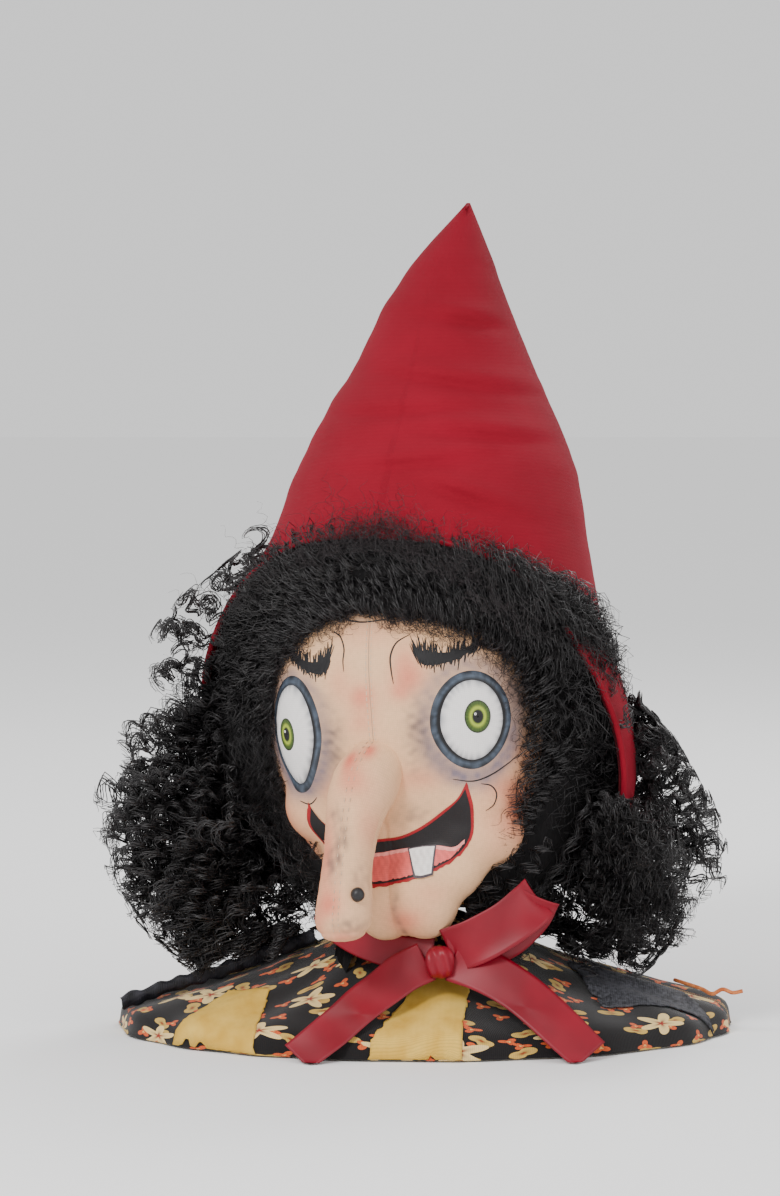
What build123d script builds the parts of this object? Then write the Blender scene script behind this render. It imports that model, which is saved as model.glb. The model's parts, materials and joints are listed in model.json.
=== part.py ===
"""Animated witch figure: a motorised head and shoulders in sewn and stuffed cloth.

The origin is the middle of the underside, +Z is up and the shoulders face -Y.
Millimetres throughout. The head is modelled at rest, turned towards -X.
"""
from build123d import *
from math import acos, cos, pi, radians, sin, sqrt, tan
import os

os.makedirs("parts", exist_ok=True)

# ---------------------------------------------------------------- driving dimensions
HEAD_YAW = 20.0          # the head's rest turn towards -X, degrees
HEAD_ROLL = 6.0          # the head's sideways tilt, degrees
HEAD_Z = 188.0           # height of the head's widest section
NOD_Z = 120.0            # height of the nod axis
CLOTH = 2.0              # thickness of the sewn face cloth with its backing

PAD_H = 2.0              # felt pad under the base
PLATE_H = 4.0            # base plate
PLATE_TOP = PAD_H + PLATE_H
WALL = 2.5               # base cover wall
COVER_TOP = 34.0
COVER_RX, COVER_RY = 126.0, 92.0       # base cover, bottom edge
COVER_TOP_RX, COVER_TOP_RY = 72.0, 46.0
TOWER_TOP = 62.0

NECK_R = 8.0             # neck tube, outside
NECK_BORE = 6.0
RUN = 0.05               # running clearance on the radius
BUSH_R = 10.0

TURN_MODULE, TURN_TEETH, TURN_PINION_TEETH = 1.25, 40, 12
NOD_MODULE, NOD_TEETH, NOD_PINION_TEETH = 1.0, 30, 10
BACKLASH = 0.16
TURN_CENTRES = TURN_MODULE * (TURN_TEETH + TURN_PINION_TEETH) / 2
NOD_CENTRES = NOD_MODULE * (NOD_TEETH + NOD_PINION_TEETH) / 2

CELL_R, CELL_LENGTH = 7.1, 49.5        # AA cells
BATTERY_X, BATTERY_Y = -52.0, 0.0      # middle of the battery case
CASE_L, CASE_W, CASE_TOP = 58.0, 60.0, 19.6
DOOR_L, DOOR_W = 54.0, 61.0
DOOR_HINGE_Y, DOOR_HINGE_Z = 34.0, 4.3
BARREL_R = 2.0

CAVITY_R = 42.0          # opening in the head for the mechanism
CAVITY_TOP = 174.0
RIBBON_T = 1.6

# half sizes of the shoulders from the floor up: height, along X, along Y
SHOULDER_SECTIONS = [(1, 184, 120), (12, 178, 114), (20, 152, 100), (28, 122, 84), (40, 86, 62),
                     (50, 60, 45), (58, 40, 31), (66, 24, 22)]
# head sections above HEAD_Z: height, half width, half depth, centre towards the back
HEAD_SECTIONS = [(-108, 46, 56, -12), (-90, 62, 74, -8), (-50, 84, 92, -2), (0, 94, 100, 0),
                 (50, 88, 95, 4), (90, 64, 70, 5), (114, 36, 40, 5)]
# hood sections: height, middle X, middle Y, half width, half depth
HOOD_SECTIONS = [(80, 0, 12, 112, 102), (112, 0, 10, 122, 109), (162, -2, 8, 131, 116),
                 (210, -7, 8, 127, 118), (240, -8, 8, 116, 116), (264, -4, 10, 107, 112),
                 (291, 3, 14, 95, 104), (336, 8, 26, 83, 90), (396, 12, 42, 56, 60),
                 (456, 17, 56, 27, 30), (490, 27, 64, 8, 8)]

# ---------------------------------------------------------------- planes of the head
side_flat = Vector(1, 0, 0).rotate(Axis.Z, -HEAD_YAW)
back_flat = Vector(0, 1, 0).rotate(Axis.Z, -HEAD_YAW)
head_side = side_flat.rotate(Axis.Y, -HEAD_ROLL)
head_up = Vector(0, 0, 1).rotate(Axis.Y, -HEAD_ROLL)
HEAD = Plane(origin=(0, 0, HEAD_Z), x_dir=head_side, z_dir=head_up)
# the nod axis is this plane's normal, its X points to the back of the head and its Y up
NOD = Plane(origin=(0, 0, NOD_Z), x_dir=back_flat, z_dir=side_flat)
# looks out of the face: X to the viewer's right, Y up
FACE = Plane(origin=(0, 0, HEAD_Z), x_dir=side_flat, z_dir=-back_flat)


def save(part, label):
    """Names one finished piece and writes it."""
    part.label = label
    export_step(part, f"parts/{label}.step")


def oval_stack(sections, grow=0.0, ruled=True):
    """A closed body through ovals that lie in level planes: height, X and Y half sizes."""
    with BuildPart() as body:
        for height, rx, ry in sections:
            with BuildSketch(Plane.XY.offset(height)):
                Ellipse(rx + grow, ry + grow)
        loft(ruled=ruled)
    return body.part


def shoulder_body(grow):
    """The shoulders' outer form, raised and widened by grow."""
    lowest = SHOULDER_SECTIONS[0][0]
    sections = [(h if h == lowest else h + grow, rx, ry) for h, rx, ry in SHOULDER_SECTIONS]
    return oval_stack(sections, grow)


def head_body(grow):
    """The stuffed head's outer form, widened by grow."""
    with BuildPart() as body:
        for height, rx, ry, back in HEAD_SECTIONS:
            with BuildSketch(HEAD.offset(height)):
                with Locations((0, back)):
                    Ellipse(rx + grow, ry + grow)
        loft()
    return body.part


def hood_body(grow):
    """The pointed hood's outer form, widened by grow."""
    with BuildPart() as body:
        for height, x, y, rx, ry in HOOD_SECTIONS:
            with BuildSketch(Plane.XY.offset(height)):
                with Locations(Location((x, y), -HEAD_YAW)):
                    Ellipse(rx + grow, ry + grow)
        loft()
    return body.part


def ellipsoid(plane, centre, rx, ry, rz):
    """A closed egg shape from stacked ovals, at centre in the given plane."""
    slices = 9
    x, y, z = centre
    with BuildPart() as body:
        for i in range(slices):
            height = rz * cos(pi * (slices - 0.6 - i) / (slices + 0.2))
            scale_xy = sqrt(1 - (height / rz) ** 2)
            with BuildSketch(plane.offset(z + height)):
                with Locations((x, y)):
                    Ellipse(rx * scale_xy, ry * scale_xy)
        loft()
    return body.part


def gear_outline(teeth, module, phase):
    """The corners of an involute spur gear's outline, phase in degrees to its first tooth."""
    pressure = radians(20)
    pitch_r = teeth * module / 2
    base_r = pitch_r * cos(pressure)
    tip_r = pitch_r + 0.95 * module
    root_r = pitch_r - 1.2 * module
    half_pitch = pi / (2 * teeth) - BACKLASH / (2 * pitch_r)

    def involute(angle):
        return tan(angle) - angle

    def half_angle(r):
        if r <= base_r:
            return half_pitch + involute(pressure)
        return half_pitch + involute(pressure) - involute(acos(base_r / r))

    flank = [max(root_r, base_r) + (tip_r - max(root_r, base_r)) * i / 4 for i in range(5)]
    flank = ([root_r] if root_r < base_r else []) + flank
    points = []
    for tooth in range(teeth):
        middle = radians(phase) + 2 * pi * tooth / teeth
        rising = [(r, middle - half_angle(r)) for r in flank]
        falling = [(r, middle + half_angle(r)) for r in reversed(flank)]
        points += [(r * cos(a), r * sin(a)) for r, a in rising + falling]
    return points


def wire(points, bend, radius):
    """A wire's or cord's solid along straight runs joined by tangent arcs."""
    with BuildPart() as body:
        with BuildLine() as route:
            FilletPolyline(*points, radius=bend)
        with BuildSketch(Plane(origin=route.line @ 0, z_dir=route.line % 0)):
            Circle(radius)
        sweep(path=route.line)
    return body.part


# ---------------------------------------------------------------- base housing
SCREW_SPOTS = [(88, 30), (-88, 30), (88, -30), (-88, -30)]
SPEAKER_SPOT = (58, 42)
SPEAKER_R = 20.0
SWITCH_SPOT = (-6, 62)
BOARD_SPOT = (55, -36)
BOARD_L, BOARD_W = 40.0, 26.0
SCREW_R = 1.5
BOSS_TOP = 16.0
LOWER_BUSH_TOP = 17.2

with BuildPart() as base_pad:
    with BuildSketch():
        Ellipse(COVER_RX - 1, COVER_RY - 1)
        with Locations((BATTERY_X, 3)):
            RectangleRounded(DOOR_L + 4, DOOR_W + 16, 4, mode=Mode.SUBTRACT)
        with Locations(SPEAKER_SPOT):
            Circle(SPEAKER_R - 3, mode=Mode.SUBTRACT)
        with Locations(SWITCH_SPOT):
            SlotOverall(20, 9, mode=Mode.SUBTRACT)
        with Locations(*SCREW_SPOTS):
            Circle(4, mode=Mode.SUBTRACT)
    extrude(amount=PAD_H)
save(base_pad.part, "base_pad")

with BuildPart() as base_plate:
    with BuildSketch(Plane.XY.offset(PAD_H)):
        Ellipse(COVER_RX, COVER_RY)
    extrude(amount=PLATE_H)
    # bearing boss round the neck tube, with a slot at its foot for the nod motor's wires
    with BuildSketch(Plane.XY.offset(PLATE_TOP)):
        Circle(BUSH_R + 4)
    extrude(amount=BOSS_TOP - PLATE_TOP)
    with BuildSketch(Plane.XY.offset(PLATE_TOP)):
        Circle(BUSH_R)
    extrude(amount=BOSS_TOP - PLATE_TOP, mode=Mode.SUBTRACT)
    with Locations((0, -12, PLATE_TOP + 1.9)):
        Box(4, 10, 3.8, mode=Mode.SUBTRACT)
    # standoffs of the circuit board
    with BuildSketch(Plane.XY.offset(PLATE_TOP)):
        with Locations(BOARD_SPOT):
            with GridLocations(BOARD_L - 6, BOARD_W - 6, 2, 2):
                Circle(2.5)
    extrude(amount=4)
    # battery opening, and the hinge ears at its rear edge
    with Locations((BATTERY_X, 3, PAD_H + PLATE_H / 2)):
        Box(DOOR_L + 1, DOOR_W + 9, PLATE_H, mode=Mode.SUBTRACT)
    with Locations((BATTERY_X, DOOR_HINGE_Y, DOOR_HINGE_Z)):
        with GridLocations(DOOR_L - 5.5, 1, 2, 1):
            Cylinder(BARREL_R, 6.5, rotation=(0, 90, 0))
            with Locations((0, 2.5, 0)):
                Box(6.5, 4.5, 3.2)
    with Locations((BATTERY_X, DOOR_HINGE_Y, DOOR_HINGE_Z)):
        Cylinder(1.0, DOOR_L + 6, rotation=(0, 90, 0), mode=Mode.SUBTRACT)
    # sound holes, switch slot and screw holes
    with BuildSketch(Plane.XY.offset(PAD_H)):
        with Locations(SPEAKER_SPOT):
            with PolarLocations(11, 8):
                Circle(2)
            with PolarLocations(5, 4):
                Circle(1.6)
        with Locations(SWITCH_SPOT):
            SlotOverall(14, 4)
        with Locations(*SCREW_SPOTS):
            Circle(SCREW_R + 0.2)
    extrude(amount=PLATE_H, mode=Mode.SUBTRACT)
    with BuildSketch(Plane.XY.offset(PAD_H)):
        with Locations(*SCREW_SPOTS):
            Circle(3.2)
    extrude(amount=2, mode=Mode.SUBTRACT)
save(base_plate.part, "base_plate")

with BuildPart() as base_cover:
    add(oval_stack([(PLATE_TOP, COVER_RX, COVER_RY), (COVER_TOP, COVER_TOP_RX, COVER_TOP_RY)]))
    add(oval_stack([(PLATE_TOP, COVER_RX - WALL - 1, COVER_RY - WALL - 1),
                    (COVER_TOP - WALL, COVER_TOP_RX - 1, COVER_TOP_RY - 1)]), mode=Mode.SUBTRACT)
    # tower that carries the upper bush
    with BuildSketch(Plane.XY.offset(COVER_TOP - WALL)):
        Circle(BUSH_R + 5)
    extrude(amount=TOWER_TOP - COVER_TOP + WALL)
    with BuildSketch(Plane.XY.offset(COVER_TOP - 2 * WALL)):
        Circle(BUSH_R)
    extrude(amount=TOWER_TOP, mode=Mode.SUBTRACT)
    # screw bosses
    with BuildSketch(Plane.XY.offset(PLATE_TOP)):
        with Locations(*SCREW_SPOTS):
            Circle(4)
    extrude(amount=10)
    with BuildSketch(Plane.XY.offset(PLATE_TOP)):
        with Locations(*SCREW_SPOTS):
            Circle(SCREW_R)
    extrude(amount=8.5, mode=Mode.SUBTRACT)
save(base_cover.part, "base_cover")

with BuildPart() as cover_screws:
    with BuildSketch(Plane.XY.offset(PAD_H + 0.2)):
        with Locations(*SCREW_SPOTS):
            Circle(2.9)
    extrude(amount=1.8)
    with BuildSketch(Plane.XY.offset(PAD_H + 2)):
        with Locations(*SCREW_SPOTS):
            Circle(SCREW_R)
    extrude(amount=10)
save(cover_screws.part, "cover_screws")

with BuildPart() as ballast_plate:
    with BuildSketch(Plane.XY.offset(PLATE_TOP)):
        with Locations((0, -54)):
            RectangleRounded(62, 28, 5)
    extrude(amount=7)
save(ballast_plate.part, "ballast_plate")

# ---------------------------------------------------------------- batteries and their door
with BuildPart() as battery_case:
    with Locations((BATTERY_X, BATTERY_Y, (PLATE_TOP + CASE_TOP) / 2)):
        Box(CASE_L, CASE_W, CASE_TOP - PLATE_TOP)
    with Locations((BATTERY_X, BATTERY_Y, PLATE_TOP)):
        Box(CASE_L - 3, CASE_W - 1.6, 2 * (CASE_TOP - PLATE_TOP - 1.2), mode=Mode.SUBTRACT)
save(battery_case.part, "battery_case")

CELL_Z = CASE_TOP - 1.3 - CELL_R
with BuildPart() as batteries:
    with Locations((BATTERY_X, BATTERY_Y, CELL_Z)):
        with GridLocations(1, 14.5, 1, 4):
            Cylinder(CELL_R, CELL_LENGTH, rotation=(0, 90, 0))
            with Locations((CELL_LENGTH / 2 + 0.4, 0, 0)):
                Cylinder(2.6, 0.8, rotation=(0, 90, 0))
save(batteries.part, "batteries")

with BuildPart() as battery_contacts:
    with Locations((BATTERY_X, BATTERY_Y, CELL_Z)):
        with GridLocations(CASE_L - 3.6, 14.5, 2, 4):
            Box(0.5, 10, 10)
        with GridLocations(1, 14.5, 1, 4):
            with Locations((-CELL_LENGTH / 2 - 1.15, 0, 0)):
                Cone(3.5, 2.2, 2.2, rotation=(0, 90, 0))
save(battery_contacts.part, "battery_contacts")

with BuildPart() as battery_door:
    with Locations((BATTERY_X, 0.4, PAD_H + 1.1)):
        Box(DOOR_L, DOOR_W - 0.6, 1.8)
    with Locations((BATTERY_X, DOOR_HINGE_Y, DOOR_HINGE_Z)):
        Cylinder(BARREL_R, DOOR_L - 13.5, rotation=(0, 90, 0))
    with Locations((BATTERY_X, DOOR_HINGE_Y - 2.2, PAD_H + 1.6)):
        Box(DOOR_L - 13.5, 4.6, 2.2)
    with Locations((BATTERY_X, DOOR_HINGE_Y, DOOR_HINGE_Z)):
        Cylinder(1.0 + RUN, DOOR_L, rotation=(0, 90, 0), mode=Mode.SUBTRACT)
    # finger pull
    with Locations((BATTERY_X, -26, PAD_H + 0.2)):
        Box(16, 3, 1.2, mode=Mode.SUBTRACT)
save(battery_door.part, "battery_door")

with BuildPart() as door_pin:
    with Locations((BATTERY_X, DOOR_HINGE_Y, DOOR_HINGE_Z)):
        Cylinder(1.0, DOOR_L + 0.6, rotation=(0, 90, 0))
save(door_pin.part, "door_pin")

# ---------------------------------------------------------------- electrics
with BuildPart() as circuit_board:
    with Locations((*BOARD_SPOT, PLATE_TOP + 4.8)):
        Box(BOARD_L, BOARD_W, 1.6)
    with Locations((BOARD_SPOT[0] - 4, BOARD_SPOT[1], PLATE_TOP + 6.6)):
        Box(14, 8, 2)
    with Locations((BOARD_SPOT[0] + 11, BOARD_SPOT[1] + 4, PLATE_TOP + 8.6)):
        Cylinder(3, 6)
    with Locations((BOARD_SPOT[0] - 16, BOARD_SPOT[1], PLATE_TOP + 7.6)):
        Box(5, 14, 4)
save(circuit_board.part, "circuit_board")

with BuildPart() as speaker:
    with BuildSketch(Plane.XY.offset(PLATE_TOP)):
        with Locations(SPEAKER_SPOT):
            Circle(SPEAKER_R)
    extrude(amount=2)
    with BuildSketch(Plane.XY.offset(PLATE_TOP + 2)):
        with Locations(SPEAKER_SPOT):
            Circle(SPEAKER_R - 3)
    extrude(amount=4, taper=30)
    with BuildSketch(Plane.XY.offset(PLATE_TOP + 6)):
        with Locations(SPEAKER_SPOT):
            Circle(9)
    extrude(amount=4)
    with BuildSketch(Plane.XY.offset(PLATE_TOP)):
        with Locations(SPEAKER_SPOT):
            Circle(SPEAKER_R - 4)
    extrude(amount=1.2, mode=Mode.SUBTRACT)
save(speaker.part, "speaker")

with BuildPart() as switch_body:
    with Locations((*SWITCH_SPOT, PLATE_TOP + 3.5)):
        Box(20, 9, 7)
    with Locations((*SWITCH_SPOT, PLATE_TOP + 1.5)):
        Box(12, 3.6, 3, mode=Mode.SUBTRACT)
save(switch_body.part, "switch_body")

with BuildPart() as power_switch:
    with Locations((SWITCH_SPOT[0] - 2.5, SWITCH_SPOT[1], 4.5)):
        Box(4, 3, 7.4)
save(power_switch.part, "power_switch")

LIMIT_SWITCH_R = 24.5
with BuildPart() as limit_switches:
    for angle in (-115, -65):
        spot = Vector(LIMIT_SWITCH_R, 0, 0).rotate(Axis.Z, angle)
        with Locations(Location((spot.X, spot.Y, PLATE_TOP + 6.7), (0, 0, angle))):
            Box(6.5, 13, 13.4)
save(limit_switches.part, "limit_switches")

# ---------------------------------------------------------------- head-turning drive
TURN_GEAR_Z = 20.0
GEARBOX_TOP = 17.0
MOTOR_Z = 14.8
MOTOR_R = 8.5

with BuildPart() as turn_gearbox:
    with Locations((TURN_CENTRES + 4, 0, (PLATE_TOP + GEARBOX_TOP) / 2)):
        Box(30, 26, GEARBOX_TOP - PLATE_TOP)
    with Locations((TURN_CENTRES, 0, GEARBOX_TOP - 2.5)):
        Cylinder(1.5 + RUN, 5, mode=Mode.SUBTRACT)
save(turn_gearbox.part, "turn_gearbox")

MOTOR_START = TURN_CENTRES + 19.0
with BuildPart() as turn_motor:
    with Locations((MOTOR_START + 13, 0, MOTOR_Z)):
        Cylinder(MOTOR_R, 26, rotation=(0, 90, 0))
    with Locations((MOTOR_START + 27, 0, MOTOR_Z)):
        Cylinder(3, 2, rotation=(0, 90, 0))
save(turn_motor.part, "turn_motor")

with BuildPart() as turn_pinion:
    with BuildSketch(Plane(origin=(TURN_CENTRES, 0, TURN_GEAR_Z))):
        with BuildLine():
            Polyline(*gear_outline(TURN_PINION_TEETH, TURN_MODULE, 180 / TURN_PINION_TEETH), close=True)
        make_face()
    extrude(amount=7)
    with BuildSketch(Plane(origin=(TURN_CENTRES, 0, GEARBOX_TOP - 4))):
        Circle(1.5)
    extrude(amount=TURN_GEAR_Z - GEARBOX_TOP + 4)
save(turn_pinion.part, "turn_pinion")

with BuildPart() as turn_gear:
    with BuildSketch(Plane.XY.offset(TURN_GEAR_Z)):
        with BuildLine():
            Polyline(*gear_outline(TURN_TEETH, TURN_MODULE, 0), close=True)
        make_face()
    extrude(amount=6)
    with BuildSketch(Plane.XY.offset(LOWER_BUSH_TOP + 0.3)):
        Circle(14)
        with Locations((0, -14)):
            RectangleRounded(8, 9, 2)
    extrude(amount=TURN_GEAR_Z - LOWER_BUSH_TOP - 0.3)
    with BuildSketch(Plane.XY.offset(TURN_GEAR_Z + 6)):
        Circle(12)
    extrude(amount=2.5)
    with BuildSketch(Plane.XY.offset(LOWER_BUSH_TOP)):
        Circle(NECK_R)
    extrude(amount=20, mode=Mode.SUBTRACT)
save(turn_gear.part, "turn_gear")

with BuildPart() as lower_bush:
    with BuildSketch(Plane.XY.offset(10)):
        Circle(BUSH_R)
    extrude(amount=BOSS_TOP - 10)
    with BuildSketch(Plane.XY.offset(BOSS_TOP)):
        Circle(BUSH_R + 3)
    extrude(amount=LOWER_BUSH_TOP - BOSS_TOP)
    with BuildSketch(Plane.XY.offset(10)):
        Circle(NECK_R + RUN)
    extrude(amount=10, mode=Mode.SUBTRACT)
save(lower_bush.part, "lower_bush")

with BuildPart() as upper_bush:
    with BuildSketch(Plane.XY.offset(TOWER_TOP - 20)):
        Circle(BUSH_R)
    extrude(amount=20)
    with BuildSketch(Plane.XY.offset(TOWER_TOP)):
        Circle(BUSH_R + 3)
    extrude(amount=2)
    with BuildSketch(Plane.XY.offset(TOWER_TOP - 20)):
        Circle(NECK_R + RUN)
    extrude(amount=30, mode=Mode.SUBTRACT)
save(upper_bush.part, "upper_bush")

NECK_TOP = 96.0
with BuildPart() as neck_tube:
    with BuildSketch(Plane.XY.offset(10.4)):
        Circle(NECK_R)
        Circle(NECK_BORE, mode=Mode.SUBTRACT)
    extrude(amount=NECK_TOP - 10.4)
save(neck_tube.part, "neck_tube")

with BuildPart() as neck_collar:
    with BuildSketch(Plane.XY.offset(TOWER_TOP + 2.3)):
        Circle(BUSH_R + 3)
        Circle(NECK_R, mode=Mode.SUBTRACT)
    extrude(amount=7)
    with BuildSketch(Plane(origin=(0, -NECK_R, TOWER_TOP + 5.8), z_dir=(0, -1, 0))):
        Circle(SCREW_R)
    extrude(amount=8, mode=Mode.SUBTRACT)
save(neck_collar.part, "neck_collar")

# ---------------------------------------------------------------- nodding joint
EAR_IN, EAR_OUT = 13.0, 17.0
YOKE_FLOOR = NOD_Z - 20
PIN_R = 3.0

with BuildPart() as nod_yoke:
    with BuildSketch(Plane.XY.offset(NECK_TOP - 12)):
        Circle(12)
        Circle(NECK_R, mode=Mode.SUBTRACT)
    extrude(amount=12)
    with BuildSketch(Plane(origin=(0, 0, NECK_TOP), x_dir=side_flat, z_dir=(0, 0, 1))):
        with Locations((0, 10)):
            RectangleRounded(2 * EAR_OUT, 42, 4)
        Circle(NECK_BORE - 1, mode=Mode.SUBTRACT)
    extrude(amount=YOKE_FLOOR - NECK_TOP)
    for ear in (-EAR_OUT, EAR_IN):
        with BuildSketch(NOD.offset(ear)):
            Circle(8)
            with Locations((0, (YOKE_FLOOR - NOD_Z) / 2)):
                Rectangle(16, NOD_Z - YOKE_FLOOR)
            Circle(PIN_R, mode=Mode.SUBTRACT)
        extrude(amount=EAR_OUT - EAR_IN)
save(nod_yoke.part, "nod_yoke")

with BuildPart() as nod_pin:
    with BuildSketch(NOD.offset(-EAR_OUT)):
        Circle(PIN_R)
    extrude(amount=2 * EAR_OUT + 2)
    with BuildSketch(NOD.offset(-EAR_OUT - 2)):
        Circle(5)
    extrude(amount=2)
save(nod_pin.part, "nod_pin")

with BuildPart() as pin_clip:
    with BuildSketch(NOD.offset(EAR_OUT)):
        Circle(5)
        Circle(PIN_R, mode=Mode.SUBTRACT)
        with Locations((0, -4)):
            Rectangle(3, 6, mode=Mode.SUBTRACT)
    extrude(amount=1)
save(pin_clip.part, "pin_clip")

HUB_LEFT, HUB_RIGHT = -EAR_IN + 0.3, 4.0
NOD_GEAR_T = 6.0
with BuildPart() as head_frame:
    with BuildSketch(NOD.offset(HUB_LEFT)):
        Circle(9)
        with Locations((0, 26)):
            Rectangle(14, 50)
    extrude(amount=HUB_RIGHT - HUB_LEFT)
    with BuildSketch(NOD.offset(HUB_LEFT)):
        Circle(PIN_R + RUN)
    extrude(amount=HUB_RIGHT - HUB_LEFT, mode=Mode.SUBTRACT)
    # round plate that the stuffed head is fixed to
    with BuildSketch(Plane.XY.offset(CAVITY_TOP - 4)):
        Circle(CAVITY_R - 4)
    extrude(amount=4)
save(head_frame.part, "head_frame")

with BuildPart() as nod_gear:
    with BuildSketch(NOD.offset(HUB_RIGHT)):
        with BuildLine():
            Polyline(*gear_outline(NOD_TEETH, NOD_MODULE, 0), close=True)
        make_face()
        Circle(PIN_R + RUN, mode=Mode.SUBTRACT)
    extrude(amount=NOD_GEAR_T)
save(nod_gear.part, "nod_gear")

with BuildPart() as nod_gearbox:
    with BuildSketch(NOD.offset(-14)):
        with Locations((NOD_CENTRES + 1, -6)):
            RectangleRounded(18, 28, 2)
    extrude(amount=17.5)
    with BuildSketch(NOD.offset(3.5)):
        with Locations((NOD_CENTRES, 0)):
            Circle(1.5 + RUN)
    extrude(amount=-6, mode=Mode.SUBTRACT)
save(nod_gearbox.part, "nod_gearbox")

with BuildPart() as nod_pinion:
    with BuildSketch(NOD.offset(4.3)):
        with BuildLine():
            corners = gear_outline(NOD_PINION_TEETH, NOD_MODULE, 180 / NOD_PINION_TEETH)
            Polyline(*[(x + NOD_CENTRES, y) for x, y in corners], close=True)
        make_face()
    extrude(amount=NOD_GEAR_T - 0.6)
    with BuildSketch(NOD.offset(-2)):
        with Locations((NOD_CENTRES, 0)):
            Circle(1.5)
    extrude(amount=6.3)
save(nod_pinion.part, "nod_pinion")

NOD_MOTOR_R = 6.0
motor_foot = Vector(0, 0, NOD_Z + 8) + back_flat * (NOD_CENTRES + 2) - side_flat * 5
with BuildPart() as nod_motor:
    with BuildSketch(Plane(origin=motor_foot)):
        Circle(NOD_MOTOR_R)
    extrude(amount=25)
save(nod_motor.part, "nod_motor")

# ---------------------------------------------------------------- wires
WIRE_R = 1.0
battery_route = [(-22.7, -27, 12), (-17, -32, 13), (-10, -36, 15), (4, -36, 16), (22, -33, 17),
                 (34, -35.5, 17.8)]
motor_route = [(TURN_CENTRES + 47.2, 0, MOTOR_Z), (87, 0, MOTOR_Z), (90, -10, MOTOR_Z), (84, -20, 13),
               (76, -30, 11.5)]
speaker_route = [(56, 32, PLATE_TOP + 11.2), (52, 22, 22), (50.5, 10, 27), (46, -10, 26), (39, -24, 20),
                 (39, -31, 18.7)]
with BuildPart() as wires:
    for route_points in (battery_route, motor_route, speaker_route):
        add(wire(route_points, 2.5, WIRE_R))
save(wires.part, "wires")

# ---------------------------------------------------------------- shoulders and their dress
with BuildPart() as shoulder_pad:
    add(shoulder_body(0))
    add(oval_stack([(0, COVER_RX + 1, COVER_RY + 1), (PLATE_TOP, COVER_RX + 1, COVER_RY + 1),
                    (COVER_TOP + 0.5, COVER_TOP_RX + 1, COVER_TOP_RY + 1)]), mode=Mode.SUBTRACT)
    with BuildSketch():
        Circle(BUSH_R + 5.5)
    extrude(amount=80, mode=Mode.SUBTRACT)
save(shoulder_pad.part, "shoulder_pad")


def dress_layer(inner, outer):
    """A closed skin round the shoulders between two offsets, open at the neck and the hem."""
    with BuildPart() as layer:
        add(shoulder_body(outer))
        add(shoulder_body(inner), mode=Mode.SUBTRACT)
        with BuildSketch():
            Circle(BUSH_R + 7)
        extrude(amount=90, mode=Mode.SUBTRACT)
    return layer.part


def patch_prism(corners, grow):
    """An upright prism over a patch's outline seen from above."""
    with BuildPart() as prism:
        with BuildSketch():
            with BuildLine():
                Polyline(*corners, close=True)
            make_face()
            if grow:
                offset(amount=grow, kind=Kind.INTERSECTION)
        extrude(amount=90)
    return prism.part


CHEST_PATCH = [(-4, -70), (24, -66), (22, -130), (-30, -130)]
SHOULDER_PATCH = [(-112, -48), (-100, -60), (-112, -125), (-160, -100)]
FLAP_OUTLINE = [(86, -20), (104, -68), (152, -66), (172, -42), (150, -14)]
capelet_skin = dress_layer(0.4, 2.4)

with BuildPart() as capelet:
    add(capelet_skin)
    add(patch_prism(CHEST_PATCH, 0.2), mode=Mode.SUBTRACT)
    add(patch_prism(SHOULDER_PATCH, 0.2), mode=Mode.SUBTRACT)
save(capelet.part, "capelet")

with BuildPart() as chest_panel:
    add(capelet_skin)
    add(patch_prism(CHEST_PATCH, 0), mode=Mode.INTERSECT)
save(chest_panel.part, "chest_panel")

with BuildPart() as shoulder_panel:
    add(capelet_skin)
    add(patch_prism(SHOULDER_PATCH, 0), mode=Mode.INTERSECT)
save(shoulder_panel.part, "shoulder_panel")

with BuildPart() as cape_flap:
    add(dress_layer(2.6, 4.6))
    add(patch_prism(FLAP_OUTLINE, 0), mode=Mode.INTERSECT)
save(cape_flap.part, "cape_flap")

flap_trim = wire([(172, -44, 22), (178, -46, 25), (187, -46, 24)], 4, 1.5)
save(flap_trim, "flap_trim")

shoulder_trim = wire([(-92, -8, 49), (-118, -12, 39), (-150, -14, 29.5), (-181, -16, 20.5)], 14, 4.5)
save(shoulder_trim, "shoulder_trim")

# ---------------------------------------------------------------- neck wrap and ribbon
with BuildPart() as neck_wrap:
    with BuildSketch(Plane.XY.offset(74)):
        Circle(30)
        Circle(16, mode=Mode.SUBTRACT)
    extrude(amount=8)
save(neck_wrap.part, "neck_wrap")

BAND_R = 58.0
BAND_PLANE = Plane(origin=(0, 0, 70), x_dir=(1, 0, 0), z_dir=(0, -sin(radians(10)), cos(radians(10))))
with BuildPart() as ribbon_band:
    with BuildSketch(BAND_PLANE.offset(-6)):
        Circle(BAND_R)
        Circle(BAND_R - RIBBON_T, mode=Mode.SUBTRACT)
        with Locations((0, 60)):
            Rectangle(140, 140, mode=Mode.SUBTRACT)
    extrude(amount=12)
save(ribbon_band.part, "ribbon_band")

save(ellipsoid(Plane.XY, (10, -77, 61), 9, 17, 8), "bow_knot")

LOOP_OUTLINE = [(21, 64), (58, 104), (75, 86), (56, 60), (24, 54)]
with BuildPart() as bow_loop:
    with BuildSketch(Plane(origin=(0, -84, 0), x_dir=(1, 0, 0), z_dir=(0, -1, 0))):
        with BuildLine():
            Polyline(*LOOP_OUTLINE, close=True)
        make_face()
    extrude(amount=6)
save(bow_loop.part, "bow_loop")

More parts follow.
